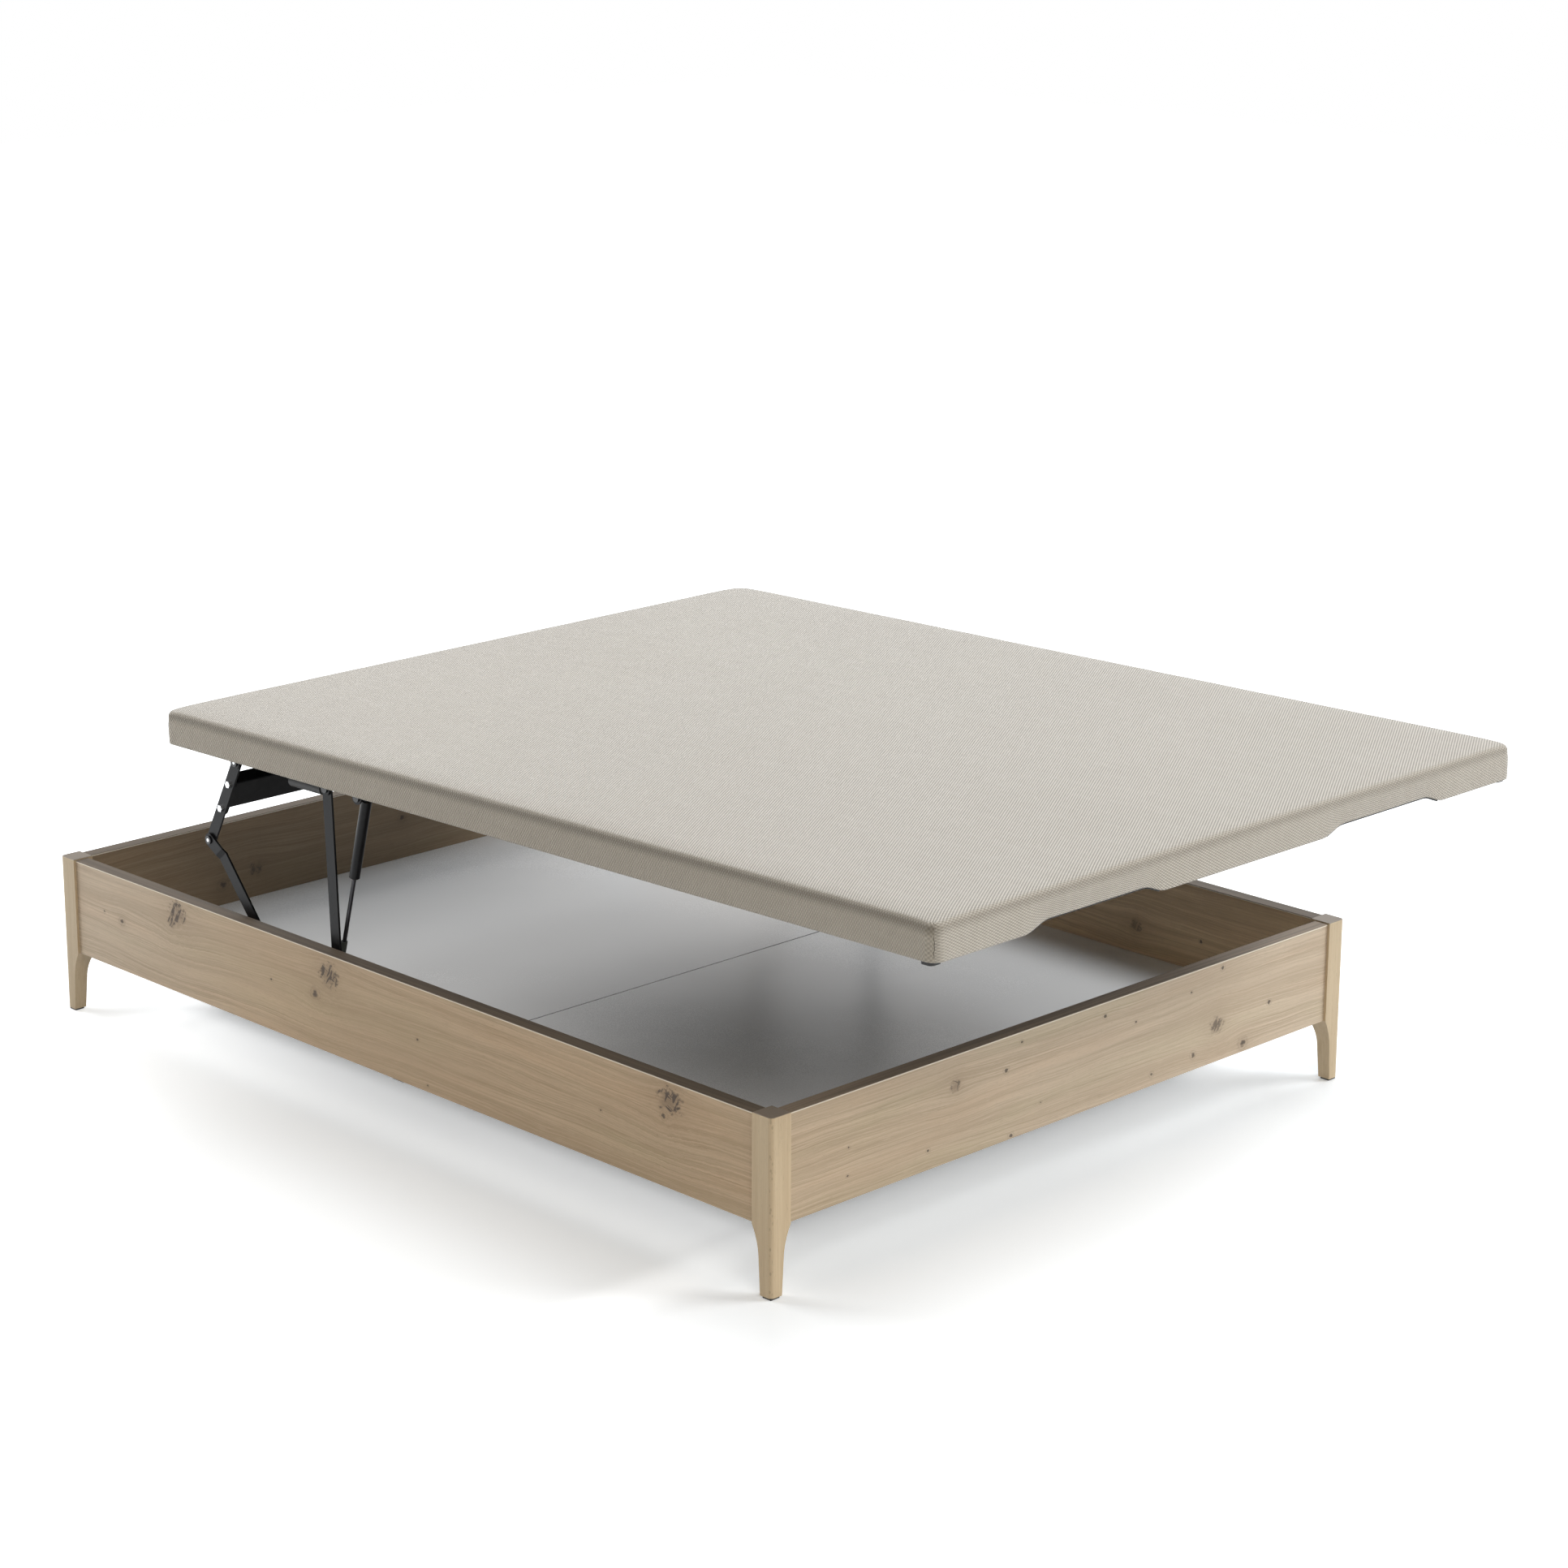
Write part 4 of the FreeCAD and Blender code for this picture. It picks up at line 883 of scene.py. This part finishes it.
@dataclass
class SoftSlab:
    """A rounded soft slab: a top grid with rounded corners, and a section that goes down its sides.

    The section is a list of places from the rim of the top: how far in from the outline and how far
    below the top. The first one is the rim itself. The lower edge's rise fades out up to the still depth.
    """

    length: float
    width: float
    top: float
    corner: float
    section: Sequence[Point2]
    along_lines: Sequence[float]
    across_lines: Sequence[float]
    closed: bool = False
    lower_edge: Callable[[float, float], float] = field(default=lambda along, across: 0.0)
    still_depth: float = 0.014
    mesh: bmesh.types.BMesh = field(default_factory=bmesh.new, init=False)

    def spot(self, cell: Cell) -> Point2:
        """The place of a grid point on the laid-out cloth."""
        return self.along_lines[cell[0]], self.across_lines[cell[1]]

    def rounded(self, along: float, across: float) -> tuple[Vector, Vector]:
        """A point of the top grid with the corners rounded, and its way out from the corner's middle.

        Args:
            along: the place along the slab.
            across: the place across the slab.

        Returns:
            The rounded place and the way out.
        """
        inset, middle = self.section[0][0], self.length / 2
        radius, half_x, half_y = self.corner - inset, middle - inset, self.width / 2 - inset
        x, y = along - middle, across
        over_x, over_y = abs(x) - (half_x - radius), abs(y) - (half_y - radius)
        if over_x > 0 and over_y > 0:
            scale = max(over_x, over_y) / math.hypot(over_x, over_y)
            out = Vector((math.copysign(over_x, x), math.copysign(over_y, y))).normalized()
            x = math.copysign(half_x - radius + over_x * scale, x)
            y = math.copysign(half_y - radius + over_y * scale, y)
        elif half_x - abs(x) < half_y - abs(y):
            out = Vector((math.copysign(1.0, x), 0.0))
        else:
            out = Vector((0.0, math.copysign(1.0, y)))
        return Vector((x + middle, y)), out

    def face(self, corners: Sequence[bmesh.types.BMVert], laid: Sequence[Point2]) -> None:
        """Adds a face with the places of its corners on the laid-out cloth."""
        for loop, spot in zip(self.mesh.faces.new(corners).loops, laid):
            loop[self.mesh.loops.layers.uv[CLOTH_MAP]].uv = spot

    def plate(self, verts: dict[Cell, bmesh.types.BMVert], height: float, upwards: bool) -> None:
        """Fills the grid at one height.

        Args:
            verts: the vertices that are there already, to which the others are added.
            height: the height of the others.
            upwards: whether the faces look up.
        """
        columns, rows = len(self.along_lines), len(self.across_lines)
        for cell in product(range(columns), range(rows)):
            if cell not in verts:
                verts[cell] = self.mesh.verts.new((*self.rounded(*self.spot(cell))[0], height))
        for cells in quads(columns, rows, upwards):
            self.face([verts[cell] for cell in cells], [self.spot(cell) for cell in cells])

    def level(self, ring: Sequence[Cell], inset: float, depth: float) -> list[bmesh.types.BMVert]:
        """Adds the vertices of one level of the sides.

        Args:
            ring: the grid points around the outline.
            inset: how far in from the outline the level lies.
            depth: how far below the top it lies.

        Returns:
            The vertices.
        """
        share = clamp((depth - self.still_depth) / (self.top - self.still_depth))
        made = []
        for cell in ring:
            place, out = self.rounded(*self.spot(cell))
            place = place + out * (self.section[0][0] - inset)
            rise = self.lower_edge(*self.spot(cell)) * share
            made.append(self.mesh.verts.new((*place, self.top - depth + rise)))
        return made

    def sides(self, verts: dict[Cell, bmesh.types.BMVert]) -> dict[Cell, bmesh.types.BMVert]:
        """Goes down the sides from the rim of the top.

        Args:
            verts: the vertices of the top.

        Returns:
            The vertices of the lowest level.
        """
        last_i, last_j = len(self.along_lines) - 1, len(self.across_lines) - 1
        ring = [(i, 0) for i in range(last_i)] + [(last_i, j) for j in range(last_j)]
        ring += [(i, last_j) for i in range(last_i, 0, -1)] + [(0, j) for j in range(last_j, 0, -1)]
        ways = [(0, -1)] * last_i + [(1, 0)] * last_j + [(0, 1)] * last_i + [(-1, 0)] * last_j
        upper, gone = [verts[cell] for cell in ring], 0.0
        for (inset, depth), (next_inset, next_depth) in zip(self.section, self.section[1:]):
            lower = self.level(ring, next_inset, next_depth)
            going = gone + math.hypot(next_inset - inset, next_depth - depth)
            for one, (x, y) in enumerate(ways):
                after = (one + 1) % len(ring)
                laid = [(self.spot(ring[at])[0] + x * run, self.spot(ring[at])[1] + y * run)
                        for at, run in ((one, gone), (one, going), (after, going), (after, gone))]
                self.face((upper[one], lower[one], lower[after], upper[after]), laid)
            upper, gone = lower, going
        return dict(zip(ring, upper))

    def build(self, name: str, finish: Finish) -> bpy.types.Object:
        """Makes the slab.

        Args:
            name: the piece's name.
            finish: the finish to put on.

        Returns:
            The object, in the slab's own frame.
        """
        self.mesh.loops.layers.uv.new(CLOTH_MAP)
        top: dict[Cell, bmesh.types.BMVert] = {}
        self.plate(top, self.top, upwards=True)
        bottom = self.sides(top)
        if self.closed:
            self.plate(bottom, self.top - self.section[-1][1], upwards=False)
        return piece_from(name, self.mesh, finish)


@dataclass
class Upholstery:
    """The lid's soft parts: cover, padding, dust cloth, corner seams, recess trim and staples."""

    lid: LidPlace = field(default_factory=LidPlace)
    recess: HandRecess = field(default_factory=HandRecess)
    body: str = "lid"
    corner: float = 0.022
    skin: float = 0.0007
    cloth_skin: float = 0.0004
    fine: float = 0.0025
    medium: float = 0.006
    coarse: float = 0.012
    recess_step: float = 0.0045
    lump_height: float = 0.0008
    lump_reach: float = 0.12
    ripple_height: float = 0.0006
    bays: int = 4
    sag: float = 0.0042
    seam_foot: float = 0.0050
    seam_height: float = 0.0400
    seam_half: float = 0.0008
    seam_proud: float = 0.0009
    staple: tuple[float, float, float] = (0.0105, 0.0012, 0.0007)
    section: tuple[Point2, ...] = (
        (0.0100, 0.0), (0.0074, 0.0004), (0.0052, 0.0013), (0.0035, 0.0027), (0.0022, 0.0045),
        (0.0014, 0.0066), (0.0010, 0.0086), (0.0009, 0.0104), (0.0008, 0.0124), (0.0006, 0.0150),
        (0.0004, 0.0190), (0.0002, 0.0260), (0.0001, 0.0350), (0.0, 0.0450), (0.0, 0.0540), (0.0001, 0.0620),
        (0.0003, 0.0660), (0.0008, 0.0680), (0.0018, 0.0688), (0.0040, 0.0690), (0.0090, 0.0690),
        (0.0180, 0.0690), (0.0300, 0.0690))

    def settle(self, made: bpy.types.Object) -> bpy.types.Object:
        """Puts a piece that was made in the lid's own frame on the raised lid."""
        made.matrix_world = self.lid.matrix()
        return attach(made, self.body)

    def lower_edge(self, along: float, across: float) -> float:
        """How far the lower edge of the cover is raised at a place on its outline."""
        return self.recess.rise(across) if along > self.lid.length - 0.05 else 0.0

    def pulled(self, place: Vector, normal: Vector) -> Vector:
        """How a vertex of the cover settles over the padding, with faint lumps and ripples.

        Args:
            place: where the vertex is.
            normal: its normal.

        Returns:
            The move.
        """
        sink = self.lid.drop(place.x, place.y) * max(place.z, 0.0) / self.lid.thickness
        if normal.z > 0.7:
            edge = min(place.x, self.lid.length - place.x, self.lid.width / 2 - abs(place.y))
            lump = noise.noise(place * 5.5) * self.lump_height * clamp(edge / self.lump_reach)
            return Vector((0.0, 0.0, lump + noise.noise(place * 21.0) * 0.0003 - sink))
        if normal.z < -0.5:
            return Vector()
        ripple = noise.noise(Vector((place.x * 14.0, place.y * 14.0, place.z * 24.0))) * self.ripple_height
        return normal * (ripple * clamp(place.z / 0.012) - 0.0003) - Vector((0.0, 0.0, sink))

    def cover(self) -> bpy.types.Object:
        """The fabric cover, pulled over the padding and stapled under the frame.

        Returns:
            The piece.
        """
        fine, medium, coarse, bent = self.fine, self.medium, self.coarse, self.recess_step
        rim, edge = self.section[0][0], 0.012
        ends, side = self.lid.length - rim, self.lid.width / 2 - rim
        # The lines lie closer along the rolled edges and where the ends of the recesses bend the lower edge.
        along = lines([(rim, fine), (rim + edge, medium), (0.09, coarse), (ends - 0.09, medium),
                       (ends - edge, fine)], ends)
        across = mirrored(lines([(0.0, coarse), (0.19, bent), (0.27, coarse), (0.48, bent), (0.56, coarse),
                                 (side - 0.08, medium), (side - edge, fine)], side))
        slab = SoftSlab(self.lid.length, self.lid.width, self.lid.thickness, self.corner, self.section, along,
                        across, lower_edge=self.lower_edge)
        made = slab.build("lid_fabric_cover", SpacerMesh("beige spacer mesh"))
        moves = [self.pulled(vert.co.copy(), vert.normal.copy()) for vert in made.data.vertices]
        for vert, move in zip(made.data.vertices, moves):
            vert.co += move
        made.data.update()
        thicken(made, self.skin)
        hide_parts("lid_cover")
        self.settle(made)
        return made

    def foam(self) -> bpy.types.Object:
        """The thin padding between the deck and the cover.

        Returns:
            The piece.
        """
        inset, bottom, top, rim, edge = 0.0042, 0.0484, 0.0660, 0.010, 0.014
        length, width = self.lid.length - 2 * inset, self.lid.width - 2 * inset
        section = ((rim, 0.0), (0.0060, 0.0009), (0.0030, 0.0032), (0.0012, 0.0064), (0.0004, 0.0105),
                   (0.0008, 0.0150), (0.0035, top - bottom), (rim, top - bottom))
        along = lines([(rim, 0.004), (rim + edge, 0.03), (length - rim - edge, 0.004)], length - rim)
        side = width / 2 - rim
        across = mirrored(lines([(0.0, 0.03), (side - edge, 0.004)], side))
        slab = SoftSlab(length, width, top, 0.019, section, along, across, closed=True)
        made = slab.build("lid_foam", Foam("padding fleece"))
        for vert in made.data.vertices:
            vert.co.x += inset
            share = (vert.co.z - bottom) / (top - bottom)
            sink = self.lid.drop(vert.co.x, vert.co.y) + 0.0004 + 0.0003 * noise.noise(vert.co * 9.0)
            vert.co.z -= sink * share
        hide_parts("lid_pad")
        self.settle(made)
        return made

    def dust_cloth(self) -> bpy.types.Object:
        """The black cloth under the frame, stapled flat with a slight sag between the battens.

        Returns:
            The piece.
        """
        start, end, half = 0.0038, self.lid.length - 0.0398, 0.6762
        columns, rows = 120, 84
        mesh = bmesh.new()
        grid = {}
        for i, j in product(range(columns + 1), range(rows + 1)):
            along, across = start + (end - start) * i / columns, -half + 2 * half * j / rows
            bay = math.sin(math.pi * ((along - start) / (end - start) * self.bays % 1.0)) ** 2
            wrinkle = noise.noise(Vector((along * 6.0, across * 15.0, 0.0))) * 0.0012
            sag = 0.0006 + (self.sag * bay + wrinkle) * math.sin(math.pi * j / rows) ** 0.6
            grid[i, j] = mesh.verts.new((along, across, 0.0008 - max(sag, 0.0)))
        for cells in quads(columns + 1, rows + 1, upwards=False):
            mesh.faces.new([grid[cell] for cell in cells])
        made = piece_from("lid_dust_cloth", mesh, PressedCloth("black underside cloth"))
        thicken(made, self.cloth_skin)
        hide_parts("lid_underside_cloth")
        self.settle(made)
        return made

    def seams(self) -> bpy.types.Object:
        """The sewn seam down each corner of the cover, a thin wavy ridge.

        Returns:
            The piece.
        """
        mesh = bmesh.new()
        steps, low, high = 26, self.seam_proud * 1.2, self.seam_proud * 1.7
        ridge = ((-1.0, 0.0), (-0.6, low), (0.0, high), (0.6, low), (1.0, 0.0))
        for index, (way, sign) in enumerate(((1.0, -1.0), (1.0, 1.0), (-1.0, 1.0), (-1.0, -1.0))):
            centre = Vector((self.lid.length - self.corner if way > 0 else self.corner,
                             sign * (self.lid.width / 2 - self.corner), self.seam_foot))
            out = Vector((way, sign, 0.0)).normalized()
            aside = Vector((-out.y, out.x, 0.0))
            rings = []
            for step in range(steps + 1):
                share = step / steps
                wave = noise.noise(Vector((share * 5.0, index * 3.7, 0.4))) * 0.0022 - 0.0005
                foot = centre + out * (self.corner - 0.0013) + aside * wave
                foot.z += self.seam_height * share
                taper = math.sin(math.pi * min(1.0, share * 1.02)) ** 0.3 if 0 < step < steps else 0.2
                rings.append([mesh.verts.new(foot + aside * side * self.seam_half + out * lift * taper)
                              for side, lift in ridge])
            tube(mesh, rings)
        made = piece_from("cover_corner_seams", mesh, Moulded("dark seam", (0.10, 0.09, 0.075), 0.85))
        return self.settle(made)

    def trim(self) -> bpy.types.Object:
        """The thin black edging along the lower edge of both hand recesses.

        Returns:
            The piece.
        """
        mesh = bmesh.new()
        low, high, front, back = -0.0034, -0.0006, self.lid.length - 0.0030, self.lid.length - 0.0080
        outline = ((back, low), (front - 0.0006, low), (front, low + 0.0005), (front, high), (back, high))
        inner, outer = self.recess.inner, self.recess.outer
        places = lines([(inner + 0.016, 0.004), (inner + 0.07, 0.02), (outer - 0.07, 0.004)], outer - 0.016)
        for sign in (-1, 1):
            tube(mesh, [[mesh.verts.new((x, sign * across, z + self.recess.rise(across))) for x, z in outline]
                        for across in places])
        finish = Moulded("black edging", (0.012, 0.012, 0.012), 0.7)
        made = piece_from("foot_edge_trim", mesh, finish, smooth=False)
        return self.settle(made)

    def staples(self) -> bpy.types.Object:
        """Staples through the hem of the cover and the edge of the dust cloth, but for the hand recesses.

        Returns:
            The piece.
        """
        mesh = bmesh.new()
        draw = random.Random(11)
        inset, recess_middle, recess_half = 0.022, 0.375, 0.19
        spots = [(along, sign * (self.lid.width / 2 - inset), 0.0)
                 for sign in (-1, 1) for along in lines([(0.06, 0.065)], self.lid.length - 0.05)]
        spots += [(along, across, math.pi / 2)
                  for along in (inset, self.lid.length - inset) for across in lines([(-0.62, 0.062)], 0.62)
                  if along < 1.0 or abs(abs(across) - recess_middle) > recess_half]
        for along, across, turn in spots:
            angle = turn + draw.uniform(-0.25, 0.25)
            shift = Matrix.Translation((along + draw.uniform(-0.004, 0.004), across, -0.0009))
            matrix = shift @ Matrix.Rotation(angle, 4, "Z") @ Matrix.Diagonal((*self.staple, 1.0))
            bmesh.ops.create_cube(mesh, size=1.0, matrix=matrix)
        bmesh.ops.bevel(mesh, geom=mesh.edges[:], offset=0.0002, segments=1, affect="EDGES")
        made = piece_from("cover_staples", mesh, BrightMetal("staple wire"), smooth=False)
        return self.settle(made)

    def build(self) -> list[bpy.types.Object]:
        """Makes every soft piece and its small parts."""
        return [self.foam(), self.cover(), self.dust_cloth(), self.seams(), self.trim(), self.staples()]


NEAR_KNOTS = (
    Knot(-0.620, 0.286, 0.022, True), Knot(-0.640, 0.262, 0.010, True), Knot(-0.864, 0.233, 0.003),
    Knot(-0.805, 0.226, 0.0065), Knot(-0.157, 0.275, 0.024, True), Knot(-0.198, 0.230, 0.0085),
    Knot(-0.330, 0.225, 0.0035), Knot(0.096, 0.217, 0.0035), Knot(0.754, 0.280, 0.024, True),
    Knot(0.740, 0.250, 0.0065), Knot(0.583, 0.217, 0.0035), Knot(0.122, 0.137, 0.003),
)
FOOT_KNOTS = (
    Knot(-0.310, 0.259, 0.011, True), Knot(-0.183, 0.254, 0.005), Knot(-0.144, 0.296, 0.0035),
    Knot(0.074, 0.289, 0.0045), Knot(0.385, 0.195, 0.016, True), Knot(0.464, 0.141, 0.0085),
    Knot(0.321, 0.154, 0.006), Knot(0.205, 0.146, 0.0045), Knot(0.537, 0.203, 0.005),
    Knot(-0.168, 0.131, 0.005), Knot(-0.376, 0.160, 0.004), Knot(-0.567, 0.218, 0.003),
    Knot(-0.569, 0.168, 0.0028), Knot(0.158, 0.258, 0.003), Knot(-0.092, 0.172, 0.0028),
    Knot(0.398, 0.303, 0.005), Knot(0.311, 0.276, 0.003),
)
HEAD_KNOTS = (
    Knot(-0.306, 0.203, 0.013, True), Knot(-0.388, 0.186, 0.009), Knot(0.078, 0.232, 0.007),
    Knot(0.420, 0.270, 0.012, True), Knot(0.560, 0.170, 0.004),
)
FAR_KNOTS = (
    Knot(0.524, 0.200, 0.012, True), Knot(0.688, 0.206, 0.0045), Knot(-0.410, 0.250, 0.014, True),
    Knot(-0.050, 0.190, 0.008), Knot(-0.760, 0.180, 0.006), Knot(0.230, 0.280, 0.0045),
)


@dataclass
class Carcass:
    """The base's carried-over nodes: boards, legs, storage floor and the steel below it."""

    leg_light: Colour = (0.688, 0.542, 0.352)
    leg_dark: Colour = (0.610, 0.460, 0.286)
    leg_height: float = 0.3175
    leg_corner: float = 1.7446

    def leg_wood(self, name: str, tone: float, seed: float) -> PlainWood:
        """The wood of one leg, with its colours scaled by the tone."""
        return PlainWood(name, Axis.UP, shade(self.leg_light, tone), shade(self.leg_dark, tone), seed=seed,
                         band_height=self.leg_height, arris_sum=self.leg_corner)

    def finishes(self) -> dict[str, Iterable[str]]:
        """Dresses the base's nodes and gives the finish of each.

        Returns:
            The names of the nodes by the finish's name.
        """
        steel = CoatedSteel("grey steel", (0.30, 0.30, 0.31), 0.42)
        return dress_all({
            self.leg_wood("pale leg wood", 1.0, 0.0): ("leg_foot_near",),
            self.leg_wood("tan leg wood", 0.88, 3.1): ("leg_foot_far",),
            self.leg_wood("brown leg wood", 0.81, 5.7): ("leg_head_near", "leg_head_far"),
            KnottyOak("oak near board", Axis.ALONG, 1.7, NEAR_KNOTS, (-0.95, -0.2, 0.35, 1.0),
                      inner_face=0.7155): ("side_board_near",),
            # The far board's inner face gets painted light.
            KnottyOak("oak far board", Axis.ALONG, 21.3, FAR_KNOTS, painted_inner_light_shade=(1.25, 1.23, 1.2),
                      inner_face=0.7155, knot_share=0.5): ("side_board_far",),
            KnottyOak("oak foot board", Axis.ACROSS, 41.9, FOOT_KNOTS, (-0.75, 0.0, 0.6, 0.3),
                      band=(0.165, 0.125, 0.088), knot_share=0.68): ("foot_board",),
            # The head board's inner face gets painted shade.
            KnottyOak("oak head board", Axis.ACROSS, 61.1, HEAD_KNOTS, painted_inner_light_shade=(0.5, 0.5, 0.5),
                      knot_share=0.7): ("head_board",),
            WhiteBoard("white storage floor"): ("floor_panel_head", "floor_panel_foot"),
            Moulded("black glide", (0.03, 0.03, 0.03), 0.5): ("leg_glides", "centre_leg_glide"),
            steel: ("floor_cross_tube", "centre_leg", "corner_brackets"),
            BrightMetal("bracket zinc"): ("bracket_bolts", "bracket_screws"),
        })


@dataclass
class LiftingGear:
    """The carried-over nodes of the bars, struts, plates and bolts."""

    black: Colour = (0.0065, 0.0065, 0.0075)
    knee: Point2 = (-0.5558, 0.4384)
    strap_top: Point2 = (-0.4662, 0.6077)

    def finishes(self) -> dict[str, Iterable[str]]:
        """Dresses the gear's nodes and gives the finish of each.

        Returns:
            The names of the nodes by the finish's name.
        """
        return dress_all({
            CoatedSteel("black powder coat", self.black, 0.34): (
                *(f"{part}_{side}" for side in ("near", "far")
                  for part in ("base_plate", "long_arm", "lower_link", "upper_strap", "lid_rail")),
                "cross_tube", "cross_tube_end_plates"),
            BrightMetal("gear zinc"): ("base_plate_screws", "arm_base_pins", "link_base_bolt_near",
                                       "link_base_bolt_far", "cross_tube_bolts", "rail_screws"),
            BlackedBolt("knee rivets", self.knee, 0.0036): ("knee_rivets",),
            BlackedBolt("lid pivots", self.strap_top, 0.0034): ("lid_pivot_bolts",),
            CoatedSteel("strut tube black", (0.007, 0.007, 0.008), 0.36, rub=0.2, sheen=0.2): (
                "strut_cylinder_near", "strut_cylinder_far"),
            CoatedSteel("strut rod dark", (0.055, 0.055, 0.06), 0.18, 0.6, 0.1): (
                "strut_rod_near", "strut_rod_far"),
            CoatedSteel("strut end grey", (0.075, 0.085, 0.078), 0.4): (
                "strut_rod_fitting_near", "strut_rod_fitting_far"),
            Moulded("black rubber", (0.018, 0.018, 0.018), 0.55): (
                "stop_buffer_near", "stop_buffer_far", "corner_bumpers"),
        })


@dataclass
class LidFrame:
    """The carried-over nodes of the lid's wooden frame and deck."""

    def finishes(self) -> dict[str, Iterable[str]]:
        """Dresses the frame's nodes and gives the finish of each.

        Returns:
            The names of the nodes by the finish's name.
        """
        pine = {"light": (0.72, 0.56, 0.36), "dark": (0.60, 0.42, 0.24), "lines": 90.0, "rough": 0.6}
        return dress_all({
            PlainWood("pine along", Axis.ALONG, seed=2.0, **pine): (
                "lid_side_batten_near", "lid_side_batten_far"),
            PlainWood("pine across", Axis.ACROSS, seed=5.0, **pine): (
                "lid_head_batten", "lid_foot_batten", "lid_cross_batten_1", "lid_cross_batten_2",
                "lid_cross_batten_3"),
            PlainWood("deck board", Axis.ACROSS, (0.66, 0.54, 0.38), (0.55, 0.43, 0.29), 60.0, 0.7): (
                "lid_deck_head", "lid_deck_foot"),
        })


def dress_all(finishes: dict[Finish, Iterable[str]]) -> dict[str, Iterable[str]]:
    """Puts each finish on its nodes.

    Args:
        finishes: the names of the nodes by finish.

    Returns:
        The names of the nodes by the finish's name.
    """
    done = {}
    for finish, names in finishes.items():
        material = finish.material()
        for name in names:
            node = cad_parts[name]
            if not node.material_slots:
                node.data.materials.append(material)
            for slot in node.material_slots:
                slot.material = material
        done[finish.name] = names
    return done


@dataclass(frozen=True)
class SoftLamp:
    """A soft lamp by the direction in which it hangs, its distance, size and power in watts."""

    name: str
    azimuth_deg: float
    elevation_deg: float
    distance: float
    size: Point2
    power: float
    colour: Colour = WHITE

    def hang(self, aim: Vector) -> None:
        """Hangs the lamp around a point that it faces.

        Args:
            aim: the point.
        """
        data = bpy.data.lights.new(self.name, "AREA")
        data.shape, data.energy, data.color = "RECTANGLE", self.power, self.colour
        data.size, data.size_y = self.size
        azimuth, elevation = math.radians(self.azimuth_deg), math.radians(self.elevation_deg)
        level = math.cos(elevation)
        away = Vector((level * math.cos(azimuth), level * math.sin(azimuth), math.sin(elevation)))
        made = link(self.name, data)
        made.location = aim + away * self.distance
        made.rotation_euler = (aim - made.location).to_track_quat("-Z", "Y").to_euler()


@dataclass
class Studio:
    """The floor, the lamps and the camera."""

    azimuth_deg: float = 45.423
    elevation_deg: float = 15.985
    roll_deg: float = 0.2175
    place: tuple[float, float, float] = (5.06922, -4.73397, 2.50865)
    focal_pixels: float = 4667.8
    image_pixels: float = 1932.0
    sensor: float = 36.0
    ground_reach: float = 14.0
    aim: tuple[float, float, float] = (0.2, 0.0, 0.3)
    lamps: tuple[SoftLamp, ...] = (
        SoftLamp("key", 45.0, 34.0, 10.0, (5.0, 3.2), 630.0, (0.97, 0.985, 1.0)),
        SoftLamp("back", 110.0, 50.0, 8.0, (6.0, 4.5), 305.0, (0.9, 0.95, 1.0)),
        SoftLamp("head side", 205.0, 29.0, 6.0, (3.4, 2.8), 200.0),
        SoftLamp("front", -30.0, 35.0, 10.0, (5.0, 4.0), 300.0, (1.0, 0.95, 0.87)))

    def camera(self) -> None:
        """Sets up the camera at the photograph's viewing angle."""
        azimuth, elevation = math.radians(self.azimuth_deg), math.radians(self.elevation_deg)
        back = Vector((math.sin(azimuth) * math.cos(elevation), -math.cos(azimuth) * math.cos(elevation),
                       math.sin(elevation)))
        right = Vector((math.cos(azimuth), math.sin(azimuth), 0.0))
        up = back.cross(right)
        roll = math.radians(self.roll_deg)
        right, up = right * math.cos(roll) + up * math.sin(roll), up * math.cos(roll) - right * math.sin(roll)
        data = bpy.data.cameras.new("camera")
        data.sensor_width = self.sensor
        data.lens = self.focal_pixels / self.image_pixels * self.sensor
        data.clip_start, data.clip_end = 0.1, 60.0
        made = link("camera", data)
        made.matrix_world = Matrix.Translation(self.place) @ Matrix((right, up, back)).transposed().to_4x4()
        bpy.context.scene.camera = made

    def world(self) -> None:
        """Sets up the world, white where it is seen and dark for the light."""
        bpy.context.scene.world = bpy.data.worlds.new("studio")
        tree = Tree(bpy.context.scene.world)
        white = tree.node("ShaderNodeBackground", inputs={"Color": WHITE, "Strength": tree.seen()})
        tree.end("ShaderNodeOutputWorld", white)

    def ground(self) -> None:
        """Lays the floor."""
        mesh = bmesh.new()
        bmesh.ops.create_grid(mesh, x_segments=8, y_segments=8, size=self.ground_reach)
        piece_from("studio_floor", mesh, StudioFloor(), smooth=False)

    def build(self) -> None:
        """Sets up the whole studio."""
        bpy.context.scene.view_settings.view_transform = "Standard"
        self.camera()
        for lamp in self.lamps:
            lamp.hang(Vector(self.aim))
        self.world()
        self.ground()


def main() -> None:
    """Builds every class in order and reports its pieces."""
    logging.basicConfig(level=logging.INFO, format="%(name)s: %(message)s")
    for part in (Carcass(), LiftingGear(), LidFrame()):
        for finish, names in part.finishes().items():
            log.info("%s on %s", finish, ", ".join(names))
    for made in Upholstery().build():
        log.info("made %s", made.name)
    Studio().build()


if __name__ == "__main__":
    main()
